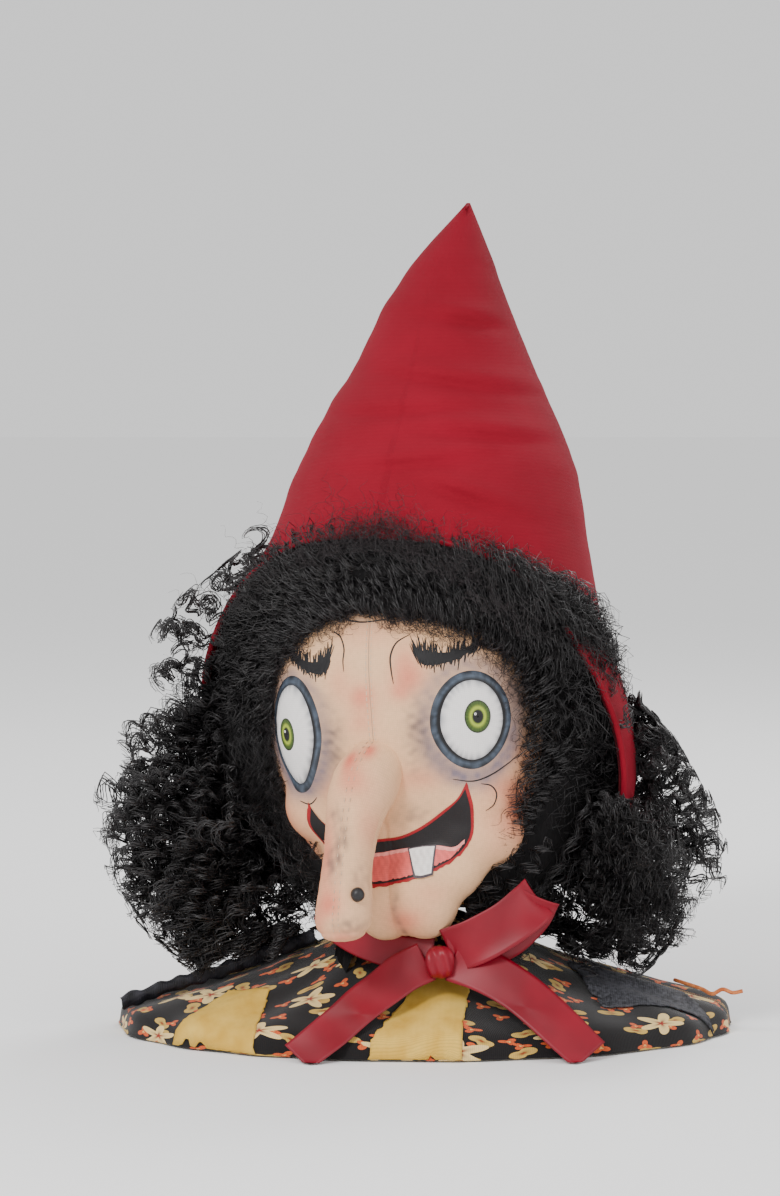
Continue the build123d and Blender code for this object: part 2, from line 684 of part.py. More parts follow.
# the tails hang forward of the chest in one sloping plane: X across, Y up the slope from its foot
TAIL_SLOPE = 55.0
tail_up = Vector(0, cos(radians(TAIL_SLOPE)), sin(radians(TAIL_SLOPE)))
TAILS = Plane(origin=(0, -127, 1), x_dir=(1, 0, 0), z_dir=Vector(1, 0, 0).cross(tail_up))
TAIL_OUTLINES = {
    "ribbon_tail_left": [(-20, 60), (2, 60), (-62, 0.5), (-92, 0.5)],
    "ribbon_tail_right": [(16, 60), (46, 60), (76, 38), (114, 0.5), (80, 0.5), (34, 36), (18, 48)],
}
for label, outline in TAIL_OUTLINES.items():
    with BuildPart() as tail:
        with BuildSketch(TAILS):
            with BuildLine():
                Polyline(*outline, close=True)
            make_face()
        extrude(amount=-RIBBON_T)
    save(tail.part, label)

# ---------------------------------------------------------------- stuffed head
skull = head_body(0)
skull_inner = head_body(-CLOTH)

with BuildPart() as head_stuffing:
    add(skull_inner)
    with BuildSketch():
        Circle(CAVITY_R)
    extrude(amount=CAVITY_TOP, mode=Mode.SUBTRACT)
save(head_stuffing.part, "head_stuffing")

with BuildPart() as head_cloth:
    add(skull)
    add(skull_inner, mode=Mode.SUBTRACT)
    with BuildSketch():
        Circle(CAVITY_R)
    extrude(amount=HEAD_Z - 60, mode=Mode.SUBTRACT)

SPLIT_BACK = 10.0        # the face panels reach this far behind the head's middle
panel_boxes = {
    "face_panel_left": (-100, -110 + SPLIT_BACK),
    "face_panel_right": (100, -110 + SPLIT_BACK),
}
for label, middle in panel_boxes.items():
    with BuildPart() as panel:
        add(head_cloth.part)
        with BuildSketch(HEAD.offset(-150)):
            with Locations(middle):
                Rectangle(200, 220)
        extrude(amount=300, mode=Mode.INTERSECT)
    save(panel.part, label)

with BuildPart() as head_back:
    add(head_cloth.part)
    with BuildSketch(HEAD.offset(-150)):
        with Locations((0, 110 + SPLIT_BACK)):
            Rectangle(400, 220)
    extrude(amount=300, mode=Mode.INTERSECT)
save(head_back.part, "head_back")

EYE_TURN = 37.0
EYE_RX, EYE_RY = 26.0, 29.0
eye_layer = head_body(2)
for label, sign in (("left_eye", -1), ("right_eye", 1)):
    gaze = (head_side * (sign * sin(radians(EYE_TURN)))
            - back_flat * cos(radians(EYE_TURN)))
    with BuildPart() as eye:
        add(eye_layer)
        with BuildSketch(Plane(origin=Vector(0, 0, HEAD_Z) + head_up * 6, x_dir=head_up, z_dir=gaze)):
            Ellipse(EYE_RY, EYE_RX)
        extrude(amount=140, mode=Mode.INTERSECT)
        add(skull, mode=Mode.SUBTRACT)
    save(eye.part, label)

with BuildPart() as chin:
    add(ellipsoid(HEAD, (0, -80, -96), 24, 21, 29))
    add(skull, mode=Mode.SUBTRACT)
save(chin.part, "chin")

# the nose droops from the bridge to a round end
nose_root = Vector(0, 0, HEAD_Z) - back_flat * 84 - head_up * 14
nose_tip = Vector(0, 0, HEAD_Z) - back_flat * 132 - head_up * 106 - head_side * 8
nose_line = nose_tip - nose_root
NOSE = Plane(origin=nose_root, x_dir=head_side, z_dir=nose_line)
NOSE_SECTIONS = [(-6, 10), (4, 14), (20, 16.5), (50, 16), (80, 17), (98, 16.5), (108, 12), (113, 6)]
with BuildPart() as nose:
    for distance, radius in NOSE_SECTIONS:
        with BuildSketch(NOSE.offset(distance)):
            Circle(radius)
    loft()
    add(skull, mode=Mode.SUBTRACT)
save(nose.part, "nose")

mole_spot = NOSE.origin + NOSE.z_dir * 82 + head_side * 13.5 - NOSE.y_dir * 10.5
with BuildPart() as mole:
    with Locations(Location(mole_spot)):
        Sphere(4)
    add(nose.part, mode=Mode.SUBTRACT)
save(mole.part, "mole")

# ---------------------------------------------------------------- hood and hair
FACE_OPENING = [(-200, 40), (24, 40), (6, 120), (-12, 200), (-38, 258), (-70, 294), (-80, 304), (-200, 304)]
with BuildPart() as hood_opening:
    with BuildSketch(Plane(origin=(0, 0, 0), x_dir=back_flat, z_dir=side_flat)):
        with BuildLine():
            Polyline(*FACE_OPENING, close=True)
        make_face()
    extrude(amount=160, both=True)

HOOD_T = 2.0
for label, outer in (("hood", 0), ("hood_lining", -HOOD_T - 0.2)):
    with BuildPart() as hood_layer:
        add(hood_body(outer))
        add(hood_body(outer - HOOD_T), mode=Mode.SUBTRACT)
        add(hood_opening.part, mode=Mode.SUBTRACT)
        with BuildSketch(Plane.XY.offset(60)):
            Rectangle(400, 400)
        extrude(amount=26, mode=Mode.SUBTRACT)
    save(hood_layer.part, label)

with BuildPart() as hair_wig:
    add(hood_body(-2 * HOOD_T - 1.5))
    add(head_body(3), mode=Mode.SUBTRACT)
    # the face shows through
    with BuildSketch(FACE):
        with Locations((0, -30)):
            Ellipse(80, 98)
    extrude(amount=200, mode=Mode.SUBTRACT)
    # the wig stops short of the hood's hollow peak
    with BuildSketch(Plane.XY.offset(326)):
        Rectangle(400, 400)
    extrude(amount=200, mode=Mode.SUBTRACT)
    with BuildSketch(Plane.XY.offset(60)):
        Rectangle(400, 400)
    extrude(amount=26, mode=Mode.SUBTRACT)
save(hair_wig.part, "hair_wig")

HAIR_MASSES = {
    "hair_left": (Plane.XY, (-150, 24, 160), 48, 50, 118),
    "hair_right": (Plane.XY, (148, 40, 122), 40, 48, 84),
    "hair_back": (Plane.YZ, (90, 90, 0), 44, 30, 98),
}
hood_clear = hood_body(1)
for label, (plane, centre, rx, ry, rz) in HAIR_MASSES.items():
    with BuildPart() as mass:
        add(ellipsoid(plane, centre, rx, ry, rz))
        add(hood_clear, mode=Mode.SUBTRACT)
        if label == "hair_back":
            add(head_body(3), mode=Mode.SUBTRACT)
    save(mass.part, label)
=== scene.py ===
import bpy
import json
import numpy as np
from math import cos, pi, radians, sin
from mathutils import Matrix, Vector
from mathutils.bvhtree import BVHTree


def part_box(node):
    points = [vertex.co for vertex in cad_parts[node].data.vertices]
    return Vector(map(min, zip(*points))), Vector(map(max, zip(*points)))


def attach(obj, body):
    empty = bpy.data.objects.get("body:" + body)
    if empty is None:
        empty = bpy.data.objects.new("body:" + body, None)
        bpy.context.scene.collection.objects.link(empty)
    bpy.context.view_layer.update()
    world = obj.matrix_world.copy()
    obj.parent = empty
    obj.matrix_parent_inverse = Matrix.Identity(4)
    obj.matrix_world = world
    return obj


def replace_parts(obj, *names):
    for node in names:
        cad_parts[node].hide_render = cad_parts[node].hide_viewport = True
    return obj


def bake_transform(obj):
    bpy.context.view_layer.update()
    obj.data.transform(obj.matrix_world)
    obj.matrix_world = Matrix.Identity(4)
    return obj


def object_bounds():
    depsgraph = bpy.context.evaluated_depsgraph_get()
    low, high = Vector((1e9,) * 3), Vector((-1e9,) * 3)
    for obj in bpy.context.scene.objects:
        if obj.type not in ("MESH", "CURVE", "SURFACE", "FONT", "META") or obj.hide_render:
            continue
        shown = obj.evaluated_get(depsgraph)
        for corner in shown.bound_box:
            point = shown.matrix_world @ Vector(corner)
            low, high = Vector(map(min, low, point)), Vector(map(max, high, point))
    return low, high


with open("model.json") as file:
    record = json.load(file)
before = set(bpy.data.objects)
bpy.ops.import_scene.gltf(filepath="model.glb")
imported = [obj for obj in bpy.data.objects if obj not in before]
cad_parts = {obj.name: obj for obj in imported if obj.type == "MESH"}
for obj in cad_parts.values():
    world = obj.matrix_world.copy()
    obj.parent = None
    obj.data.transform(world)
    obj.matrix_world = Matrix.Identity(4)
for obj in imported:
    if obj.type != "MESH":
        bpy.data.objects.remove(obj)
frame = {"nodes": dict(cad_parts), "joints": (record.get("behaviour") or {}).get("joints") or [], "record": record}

# Lengths are millimetres in the frame's axes; mesh_piece() turns them into metres.
MM = 0.001
CAD_BOX = [list(corner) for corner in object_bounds()]
joints = {joint["name"]: joint for joint in frame["joints"]}

# ---------------------------------------------------------------- driving dimensions
NOD_Z = joints["head_nod"]["pos_m"][2] / MM
HEAD_Z = NOD_Z + 68.0            # the head's widest section
YAW, ROLL = radians(-20.0), radians(-6.0)
TURN_RANGE, NOD_RANGE = joints["head_turn"]["range_deg"], joints["head_nod"]["range_deg"]
# head sections above HEAD_Z: height, half width, half depth, middle towards the back
HEAD_SECTIONS = np.array([(-108, 46, 56, -12), (-90, 62, 74, -8), (-50, 84, 92, -2), (0, 94, 100, 0),
                          (50, 88, 95, 4), (90, 64, 70, 5), (114, 36, 40, 5)], float)
# hood sections: height, middle X, middle Y, half width, half depth
HOOD_SECTIONS = np.array([(78, 0, 12, 111, 101), (112, 0, 10, 122, 109), (162, -2, 8, 131, 116),
                          (210, -7, 8, 127, 118), (240, -8, 8, 116, 116), (264, -4, 10, 107, 112),
                          (291, 3, 14, 95, 104), (336, 8, 26, 83, 90), (396, 12, 42, 56, 60),
                          (456, 17, 56, 27, 30), (497, 27, 64, 1, 1)], float)
# the hood's front edge in side view: height, distance behind the head's middle
HOOD_EDGE = np.array([(70, 30), (120, 6), (200, -12), (258, -38), (282, -58), (296, -74), (304, -90)], float)
# half sizes of the shoulders from the floor up: height, along X, along Y
SHOULDER_SECTIONS = np.array([(1, 184, 120), (12, 178, 114), (20, 152, 100), (28, 122, 84), (40, 86, 62),
                              (50, 60, 45), (58, 40, 31), (66, 24, 22)], float)
MM_PER_DEGREE = 1.64             # along the face at the height of the eyes


def turn_z(angle):
    return np.array([[cos(angle), -sin(angle), 0], [sin(angle), cos(angle), 0], [0, 0, 1]])


def turn_y(angle):
    return np.array([[cos(angle), 0, sin(angle)], [0, 1, 0], [-sin(angle), 0, cos(angle)]])


HEAD_TURN = turn_y(ROLL) @ turn_z(YAW)
YAW_ONLY = turn_z(YAW)


def to_world(points):
    """Head coordinates (X to the viewer's right, Y back, Z up) to the frame's."""
    return np.asarray(points, float) @ HEAD_TURN.T + np.array([0, 0, HEAD_Z])


def unit(vectors):
    """The vectors at length 1, along the last axis."""
    return vectors / np.maximum(np.linalg.norm(vectors, axis=-1, keepdims=True), 1e-9)


def distances(line):
    """How far along a line each of its points stands."""
    return np.concatenate([[0], np.cumsum(np.linalg.norm(np.diff(line, axis=0), axis=1))])


def sample(line, at, along=None):
    """Points on a line, which runs from 0 to 1 unless along gives the place of each of its points."""
    along = np.linspace(0, 1, len(line)) if along is None else along
    return np.stack([np.interp(at, along, column) for column in line.T], -1)


def smooth_step(low, high, value):
    t = np.clip((value - low) / (high - low), 0, 1)
    return t * t * (3 - 2 * t)


def through(table, column, at):
    """A smooth curve through one column of a table whose first column is the place."""
    places, values = table[:, 0], table[:, column]
    slopes = np.gradient(values, places)
    at = np.asarray(at, float)
    i = np.clip(np.searchsorted(places, at) - 1, 0, len(places) - 2)
    gap = places[i + 1] - places[i]
    t = (at - places[i]) / gap
    return ((2 * t**3 - 3 * t**2 + 1) * values[i] + (t**3 - 2 * t**2 + t) * gap * slopes[i]
            + (-2 * t**3 + 3 * t**2) * values[i + 1] + (t**3 - t**2) * gap * slopes[i + 1])


def ripple(points, size, seed, waves=7):
    """Smooth seeded noise from -1 to 1 at each point, with bumps about size across."""
    rng = np.random.default_rng(seed)
    total = np.zeros(len(points))
    for _ in range(waves):
        direction = rng.normal(size=3)
        direction *= 2 * pi / (size * rng.uniform(1.2, 2.6) * np.linalg.norm(direction))
        total += np.sin(points @ direction + rng.uniform(0, 2 * pi))
    return total / (waves * 0.6)


def catmull(points, steps=8, closed=False):
    """A smooth line through the given points."""
    points = np.asarray(points, float)
    n = len(points)
    line = []
    for i in range(n if closed else n - 1):
        if closed:
            a, b, c, d = (points[(i + k) % n] for k in (-1, 0, 1, 2))
        else:
            b, c = points[i], points[i + 1]
            a = points[i - 1] if i else 2 * b - c
            d = points[i + 2] if i + 2 < n else 2 * c - b
        for k in range(steps):
            t = k / steps
            line.append(0.5 * (2 * b + (c - a) * t + (2 * a - 5 * b + 4 * c - d) * t**2
                               + (3 * b - a - 3 * c + d) * t**3))
    if not closed:
        line.append(points[-1])
    return np.array(line)


# ---------------------------------------------------------------- mesh building
def add_paint(mesh, colours):
    """Each point's colour, which the painted materials read."""
    layer = mesh.attributes.new("paint", "FLOAT_COLOR", "POINT")
    rgba = np.ones((len(mesh.vertices), 4), np.float32)
    rgba[:, :3] = colours
    layer.data.foreach_set("color", rgba.ravel())


def add_cloth(mesh, place):
    """Each point's place on its cloth in metres, which the woven materials read."""
    layer = mesh.attributes.new("cloth", "FLOAT_VECTOR", "POINT")
    vector = np.zeros((len(mesh.vertices), 3), np.float32)
    vector[:, :place.shape[1]] = place
    layer.data.foreach_set("vector", vector.ravel())


def mesh_piece(name, verts, faces, body=None, material=None, colours=None, cloth=None):
    """One mesh object from points in millimetres. faces is a list, or an array of equal-sided faces."""
    verts = np.asarray(verts, np.float32) * MM
    mesh = bpy.data.meshes.new(name)
    if isinstance(faces, np.ndarray):
        sides = faces.shape[1]
        mesh.vertices.add(len(verts))
        mesh.vertices.foreach_set("co", verts.ravel())
        mesh.loops.add(faces.size)
        mesh.loops.foreach_set("vertex_index", faces.astype(np.int32).ravel())
        mesh.polygons.add(len(faces))
        mesh.polygons.foreach_set("loop_start", np.arange(0, faces.size, sides, dtype=np.int32))
        mesh.update(calc_edges=True)
        mesh.validate()
    else:
        mesh.from_pydata(verts.tolist(), [], faces)
    mesh.polygons.foreach_set("use_smooth", [True] * len(mesh.polygons))
    if colours is not None:
        add_paint(mesh, colours)
    if cloth is not None:
        add_cloth(mesh, cloth)
    piece = bpy.data.objects.new(name, mesh)
    bpy.context.scene.collection.objects.link(piece)
    if material is not None:
        mesh.materials.append(material)
    if body:
        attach(piece, body)
    return piece


def grid_faces(rows, columns, close_columns=False):
    """Quads of a grid of rows x columns points."""
    r = np.arange(rows - 1)[:, None]
    c = np.arange(columns if close_columns else columns - 1)[None, :]
    right = (c + 1) % columns
    above = (r + 1) * columns
    return np.stack([r * columns + c, r * columns + right, above + right, above + c], -1).reshape(-1, 4)


def capped_faces(rows, columns):
    """Faces of a closed tube of rows x columns points, with one face over each end."""
    last = (rows - 1) * columns
    return grid_faces(rows, columns, True).tolist() + [list(range(columns))[::-1],
                                                       list(range(last, last + columns))]


def apply_modifiers(piece):
    """Replaces a piece's mesh by what its modifiers make of it."""
    graph = bpy.context.evaluated_depsgraph_get()
    mesh = bpy.data.meshes.new_from_object(piece.evaluated_get(graph), preserve_all_data_layers=True,
                                           depsgraph=graph)
    piece.modifiers.clear()
    piece.data = mesh
    return piece


def turn_outward(piece, outward):
    """Flips a piece's faces when most of them look against the outward directions given for its points."""
    mesh = piece.data
    normals = np.zeros(len(mesh.vertices) * 3, np.float32)
    mesh.vertices.foreach_get("normal", normals)
    if (normals.reshape(-1, 3) * outward).sum() < 0:
        mesh.flip_normals()


def thicken(piece, thickness, offset=-1.0):
    shell = piece.modifiers.new("thickness", "SOLIDIFY")
    shell.thickness = thickness * MM
    shell.offset = offset
    shell.use_even_offset = True
    return apply_modifiers(piece)


def sheet_area(piece):
    return sum(face.area for face in piece.data.polygons)


def tubes(paths, radii, sides=3):
    """Closed thin tubes along many paths of equal length: returns points and faces."""
    paths = np.asarray(paths, float)
    count, steps, _ = paths.shape
    tangent = unit(np.gradient(paths, axis=1))
    helper = np.where(np.abs(tangent[..., 2:3]) < 0.9, np.array([0, 0, 1.0]), np.array([1.0, 0, 0]))
    across = unit(np.cross(tangent, helper))
    up = np.cross(tangent, across)
    angles = np.arange(sides) * 2 * pi / sides
    radii = np.broadcast_to(radii, (count, steps))[..., None, None]
    ring = across[:, :, None, :] * np.cos(angles)[:, None] + up[:, :, None, :] * np.sin(angles)[:, None]
    verts = (paths[:, :, None, :] + radii * ring).reshape(-1, 3)
    block = grid_faces(steps, sides, True)
    faces = (block[None] + (np.arange(count) * steps * sides)[:, None, None]).reshape(-1, 4)
    return verts, faces


# ---------------------------------------------------------------- materials
def rgb(r, g, b):
    """Linear colour from 0-255 display values."""
    return tuple(((c / 255 + 0.055) / 1.055) ** 2.4 if c > 10 else c / 255 / 12.92 for c in (r, g, b))


def new_material(name, roughness=0.8, specular=0.5, sheen=0.0, sheen_tint=(1, 1, 1), metallic=0.0):
    material = bpy.data.materials.new(name)
    material.use_nodes = True
    shader = material.node_tree.nodes["Principled BSDF"]
    shader.inputs["Roughness"].default_value = roughness
    shader.inputs["Specular IOR Level"].default_value = specular
    shader.inputs["Sheen Weight"].default_value = sheen
    shader.inputs["Sheen Tint"].default_value = (*sheen_tint, 1)
    shader.inputs["Metallic"].default_value = metallic
    return material, material.node_tree.nodes, material.node_tree.links, shader


def add_noise(nodes, links, scale, detail=3.0, coords=None):
    noise = nodes.new("ShaderNodeTexNoise")
    noise.inputs["Scale"].default_value = scale
    noise.inputs["Detail"].default_value = detail
    if coords is None:
        coords = nodes.new("ShaderNodeTexCoord").outputs["Object"]
    links.new(coords, noise.inputs["Vector"])
    return noise.outputs["Fac"]


def add_ramp(nodes, links, factor, stops):
    ramp = nodes.new("ShaderNodeValToRGB")
    while len(ramp.color_ramp.elements) < len(stops):
        ramp.color_ramp.elements.new(0.5)
    for element, (place, colour) in zip(ramp.color_ramp.elements, stops):
        element.position = place
        element.color = (*colour, 1)
    links.new(factor, ramp.inputs["Fac"])
    return ramp.outputs["Color"]


def add_maths(nodes, links, operation, a, b):
    node = nodes.new("ShaderNodeMath")
    node.operation = operation
    for socket, value in zip(node.inputs, (a, b)):
        if isinstance(value, (int, float)):
            socket.default_value = value
        else:
            links.new(value, socket)
    return node.outputs[0]


def add_mix(nodes, links, factor, a, b, blend="MIX"):
    node = nodes.new("ShaderNodeMix")
    node.data_type = "RGBA"
    node.blend_type = blend
    for socket, value in ((node.inputs[0], factor), (node.inputs[6], a), (node.inputs[7], b)):
        if isinstance(value, (int, float)):
            socket.default_value = value
        elif isinstance(value, tuple):
            socket.default_value = (*value, 1)
        else:
            links.new(value, socket)
    return node.outputs[2]


def add_weave(nodes, links, thread_mm, attribute=True):
    """Height of a plain weave, threads thread_mm apart, over the cloth's own coordinates."""
    if attribute:
        place = nodes.new("ShaderNodeAttribute")
        place.attribute_name = "cloth"
        vector = place.outputs["Vector"]
    else:
        vector = nodes.new("ShaderNodeTexCoord").outputs["Object"]
    heights = []
    for direction in ("X", "Y"):
        wave = nodes.new("ShaderNodeTexWave")
        wave.bands_direction = direction
        wave.inputs["Scale"].default_value = 0.314 / (thread_mm * MM)
        wave.inputs["Distortion"].default_value = 1.2
        wave.inputs["Detail"].default_value = 1.0
        wave.inputs["Detail Scale"].default_value = 0.4
        links.new(vector, wave.inputs["Vector"])
        heights.append(wave.outputs["Fac"])
    return add_maths(nodes, links, "MULTIPLY", *heights)


def add_bump(nodes, links, shader, height, strength, distance_mm):
    bump = nodes.new("ShaderNodeBump")
    bump.inputs["Strength"].default_value = strength
    bump.inputs["Distance"].default_value = distance_mm * MM
    links.new(height, bump.inputs["Height"])
    links.new(bump.outputs["Normal"], shader.inputs["Normal"])


def cloth_material(name, dark, light, thread_mm=0.9, roughness=0.85, sheen=0.3, bump=0.5, blotch=35.0,
                   attribute=True):
    """Plain woven cloth whose colour drifts between dark and light."""
    material, nodes, links, shader = new_material(name, roughness, 0.25, sheen, light)
    blotches = add_noise(nodes, links, blotch, 4.0)
    colour = add_ramp(nodes, links, blotches, [(0.3, dark), (0.7, light)])
    weave = add_weave(nodes, links, thread_mm, attribute)
    # darker where the weave dips: painted shade between the threads
    threads = add_ramp(nodes, links, weave, [(0.0, (0.72, 0.72, 0.72)), (0.5, (1, 1, 1))])
    links.new(add_mix(nodes, links, 0.75, colour, threads, "MULTIPLY"), shader.inputs["Base Color"])
    add_bump(nodes, links, shader, weave, bump, 0.25)
    return material


def painted_material(name, roughness, bump, strength=0.5):
    """Paint brushed on cloth: colour from the mesh, with weave and brush marks."""
    material, nodes, links, shader = new_material(name, roughness, 0.35)
    paint = nodes.new("ShaderNodeAttribute")
    paint.attribute_name = "paint"
    weave = add_weave(nodes, links, 1.1)
    mottle = add_noise(nodes, links, 420.0, 3.0)
    tone = add_ramp(nodes, links, mottle, [(0.3, (0.86, 0.84, 0.83)), (0.62, (1, 1, 1))])
    shade = add_mix(nodes, links, strength, paint.outputs["Color"], tone, "MULTIPLY")
    # darker where the weave dips: painted shade between the threads
    threads = add_ramp(nodes, links, weave, [(0.0, (0.86, 0.85, 0.84)), (0.45, (1, 1, 1))])
    links.new(add_mix(nodes, links, 0.6, shade, threads, "MULTIPLY"), shader.inputs["Base Color"])
    add_bump(nodes, links, shader, weave, bump, 0.25)
    return material


def satin_material(name, dark, light):
    """Ribbon satin: smooth, shiny along its length, with fine cross threads."""
    material, nodes, links, shader = new_material(name, 0.42, 0.38)
    shader.inputs["Anisotropic"].default_value = 0.6
    drift = add_noise(nodes, links, 30.0, 2.0)
    colour = add_ramp(nodes, links, drift, [(0.3, dark), (0.7, light)])
    links.new(colour, shader.inputs["Base Color"])
    weave = add_weave(nodes, links, 0.45)
    add_bump(nodes, links, shader, weave, 0.18, 0.15)
    return material


def plain_material(name, colour, roughness=0.7, specular=0.4, sheen=0.0):
    """One even colour, for strands too fine to show a pattern."""
    material, _, _, shader = new_material(name, roughness, specular, sheen, colour)
    shader.inputs["Base Color"].default_value = (*colour, 1)
    return material


def hard_material(name, colour, roughness, metallic=0.0, grain=600.0, spread=0.12):
    """Moulded plastic or metal with a fine texture and slight tone changes."""
    material, nodes, links, shader = new_material(name, roughness, 0.5, metallic=metallic)
    dark = tuple(c * (1 - spread) for c in colour)
    light = tuple(min(1, c * (1 + spread)) for c in colour)
    links.new(add_ramp(nodes, links, add_noise(nodes, links, 60.0), [(0.35, dark), (0.65, light)]),
              shader.inputs["Base Color"])
    add_bump(nodes, links, shader, add_noise(nodes, links, grain, 2.0), 0.25, 0.1)
    return material


CREAM = np.array(rgb(236, 188, 144))
BLUSH = np.array(rgb(222, 112, 88))
# the two greys below are painted shade on the face: round the eyes, at its sides and top, under the nose and in
# the chin's crease; the darker one also makes the nose's grey patches
DARK_GREY = np.array(rgb(84, 70, 72))
EYE_SHADE_GREY = np.array(rgb(122, 108, 118))
INK = np.array(rgb(20, 18, 20))

face_cloth = painted_material("painted_face_cloth", 0.72, 0.35)
eye_paint = painted_material("painted_eye", 0.42, 0.12, strength=0.25)
mouth_paint = painted_material("painted_mouth", 0.5, 0.2)
ink_paint = plain_material("ink_paint", tuple(INK), 0.6)
thread_cream = plain_material("cream_thread", rgb(206, 176, 146), 0.6)
hair_black = plain_material("crimped_hair", rgb(30, 27, 28), 0.42, 0.55)
hair_fine = plain_material("fine_hair", rgb(36, 28, 30), 0.5, 0.5)
# the wig's core is darker than its strands: painted shade deep in the hair
hair_core = cloth_material("hair_core", rgb(9, 8, 9), rgb(22, 19, 20), 2.6, 0.9, 0.1, 1.0, 120.0, False)
hood_cloth = cloth_material("crimson_cotton", rgb(128, 0, 26), rgb(144, 0, 33), 0.8, 0.85, 0.0, 0.5, 14.0)
# the lining's red is drawn much darker than the hood's crimson: painted shade inside the hood
shaded_lining_cloth = cloth_material("shade_darkened_lining", rgb(58, 4, 12), rgb(88, 8, 20), 0.8, 0.9, 0.0)
satin = satin_material("crimson_satin", rgb(112, 0, 22), rgb(136, 0, 30))
gold_cloth = cloth_material("old_gold_velveteen", rgb(206, 160, 60), rgb(236, 196, 96), 0.7, 0.9, 0.2, 0.5,
                            60.0)
black_cloth = cloth_material("black_cotton", rgb(20, 17, 18), rgb(34, 30, 31), 0.8, 0.85, 0.2, 0.5)
calico = cloth_material("unbleached_calico", rgb(196, 182, 156), rgb(222, 210, 186), 0.8, 0.9, 0.1, 0.5)
braid_black = cloth_material("ruffled_braid", rgb(16, 15, 17), rgb(46, 45, 52), 1.4, 0.6, 0.4, 0.9, 160.0,
                             False)
lurex = cloth_material("black_lurex", rgb(26, 26, 28), rgb(84, 84, 90), 1.3, 0.55, 0.3, 0.9, 420.0, False)
trim_orange = cloth_material("orange_cord", rgb(176, 84, 40), rgb(226, 140, 84), 0.9, 0.7, 0.3, 0.6, 200.0,
                             False)

# ---------------------------------------------------------------- head and chin
GRID_ROWS, GRID_COLUMNS = 90, 160


def head_point(u, h, out=0.0):
    """Head coordinates of the point u mm round the face from its middle, at height h, out mm proud."""
    angle = np.radians(np.asarray(u, float) / MM_PER_DEGREE)
    h = np.asarray(h, float)
    rx, ry, back = (through(HEAD_SECTIONS, i, h) for i in (1, 2, 3))
    return np.stack([(rx + out) * np.sin(angle), back - (ry + out) * np.cos(angle), h + 0 * angle], -1)


def egg(name, centre, radii, segments=40, rings=28):
    """A closed egg-shaped mesh in head coordinates."""
    down = np.linspace(0.02, pi - 0.02, rings)[:, None]
    around = np.linspace(0, 2 * pi, segments, endpoint=False)[None, :]
    ball = np.stack([np.sin(down) * np.cos(around), np.sin(down) * np.sin(around),
                     np.cos(down) + 0 * around], -1).reshape(-1, 3)
    return mesh_piece(name, ball * np.array(radii) + np.array(centre), capped_faces(rings, segments))


def build_head():
    heights = np.linspace(-108, 114, GRID_ROWS)
    angles = np.linspace(0, 360, GRID_COLUMNS, endpoint=False) * MM_PER_DEGREE
    u, h = np.meshgrid(angles, heights)
    head = mesh_piece("head_skin", head_point(u.ravel(), h.ravel()), capped_faces(GRID_ROWS, GRID_COLUMNS))
    parts = [head,
             egg("chin_lobe_near", (17, -79, -95), (21, 23, 28)),
             egg("chin_lobe_far", (-7, -79, -96), (21, 23, 27)),
             egg("jaw_near", (40, -52, -64), (32, 34, 25)),
             egg("jaw_front", (26, -68, -82), (26, 26, 22)),
             egg("cheek_near", (44, -62, -42), (26, 24, 24)),
             egg("cheek_far", (-44, -62, -42), (26, 24, 24))]
    bpy.ops.object.select_all(action="DESELECT")
    for part in parts:
        part.select_set(True)
    bpy.context.view_layer.objects.active = head
    bpy.ops.object.join()
    remesh = head.modifiers.new("one_skin", "REMESH")
    remesh.mode = "VOXEL"
    remesh.voxel_size = 2.2 * MM
    relax = head.modifiers.new("relax", "SMOOTH")
    relax.factor = 0.8
    relax.iterations = 22
    finer = head.modifiers.new("finer", "SUBSURF")
    finer.levels = finer.render_levels = 1
    return apply_modifiers(head)


head_skin = build_head()


def mesh_points(piece):
    points = np.zeros(len(piece.data.vertices) * 3, np.float32)
    piece.data.vertices.foreach_get("co", points)
    return points.reshape(-1, 3).astype(float)


def set_points(piece, points):
    piece.data.vertices.foreach_set("co", np.asarray(points, np.float32).ravel())
    piece.data.update()


def face_places(points):
    """u and h of points near the face, in head coordinates."""
    rx, ry, back = (through(HEAD_SECTIONS, i, np.clip(points[:, 2], -107, 113)) for i in (1, 2, 3))
    angle = np.degrees(np.arctan2(points[:, 0] / rx, -(points[:, 1] - back) / ry))
    return angle * MM_PER_DEGREE, points[:, 2]


NEAR_EYE, FAR_EYE = (62.0, 4.0), (-55.5, 4.0)
SEAM_U = 3                       # where the two halves of the face are sewn


def spot(u, h, centre, size_u, size_h):
    """A soft round patch, 1 at its centre."""
    return np.exp(-(((u - centre[0]) / size_u) ** 2 + ((h - centre[1]) / size_h) ** 2))


def tint(colours, amount, colour):
    amount = np.clip(amount, 0, 1)[:, None]
    return colours * (1 - amount) + colour * amount


# blushes on the face: centre (u, h), half width, half height, strength
FACE_BLUSHES = [((27, 33), 10, 8, 0.75), ((21, 25), 7, 6, 0.5), ((25, 43), 8, 9, 0.4), ((-1, 24), 9, 9, 0.6),
                ((-3, 10), 10, 8, 0.3), ((-16, 34), 8, 10, 0.3), ((92, -54), 22, 20, 0.75),
                ((78, -38), 14, 8, 0.4), ((-88, -54), 24, 26, 0.8), ((14, -108), 16, 10, 0.6),
                ((34, -92), 12, 8, 0.3), ((-26, -30), 14, 10, 0.35), ((28, -26), 14, 8, 0.35),
                ((2, 60), 26, 8, 0.22), ((96, -20), 14, 10, 0.35)]


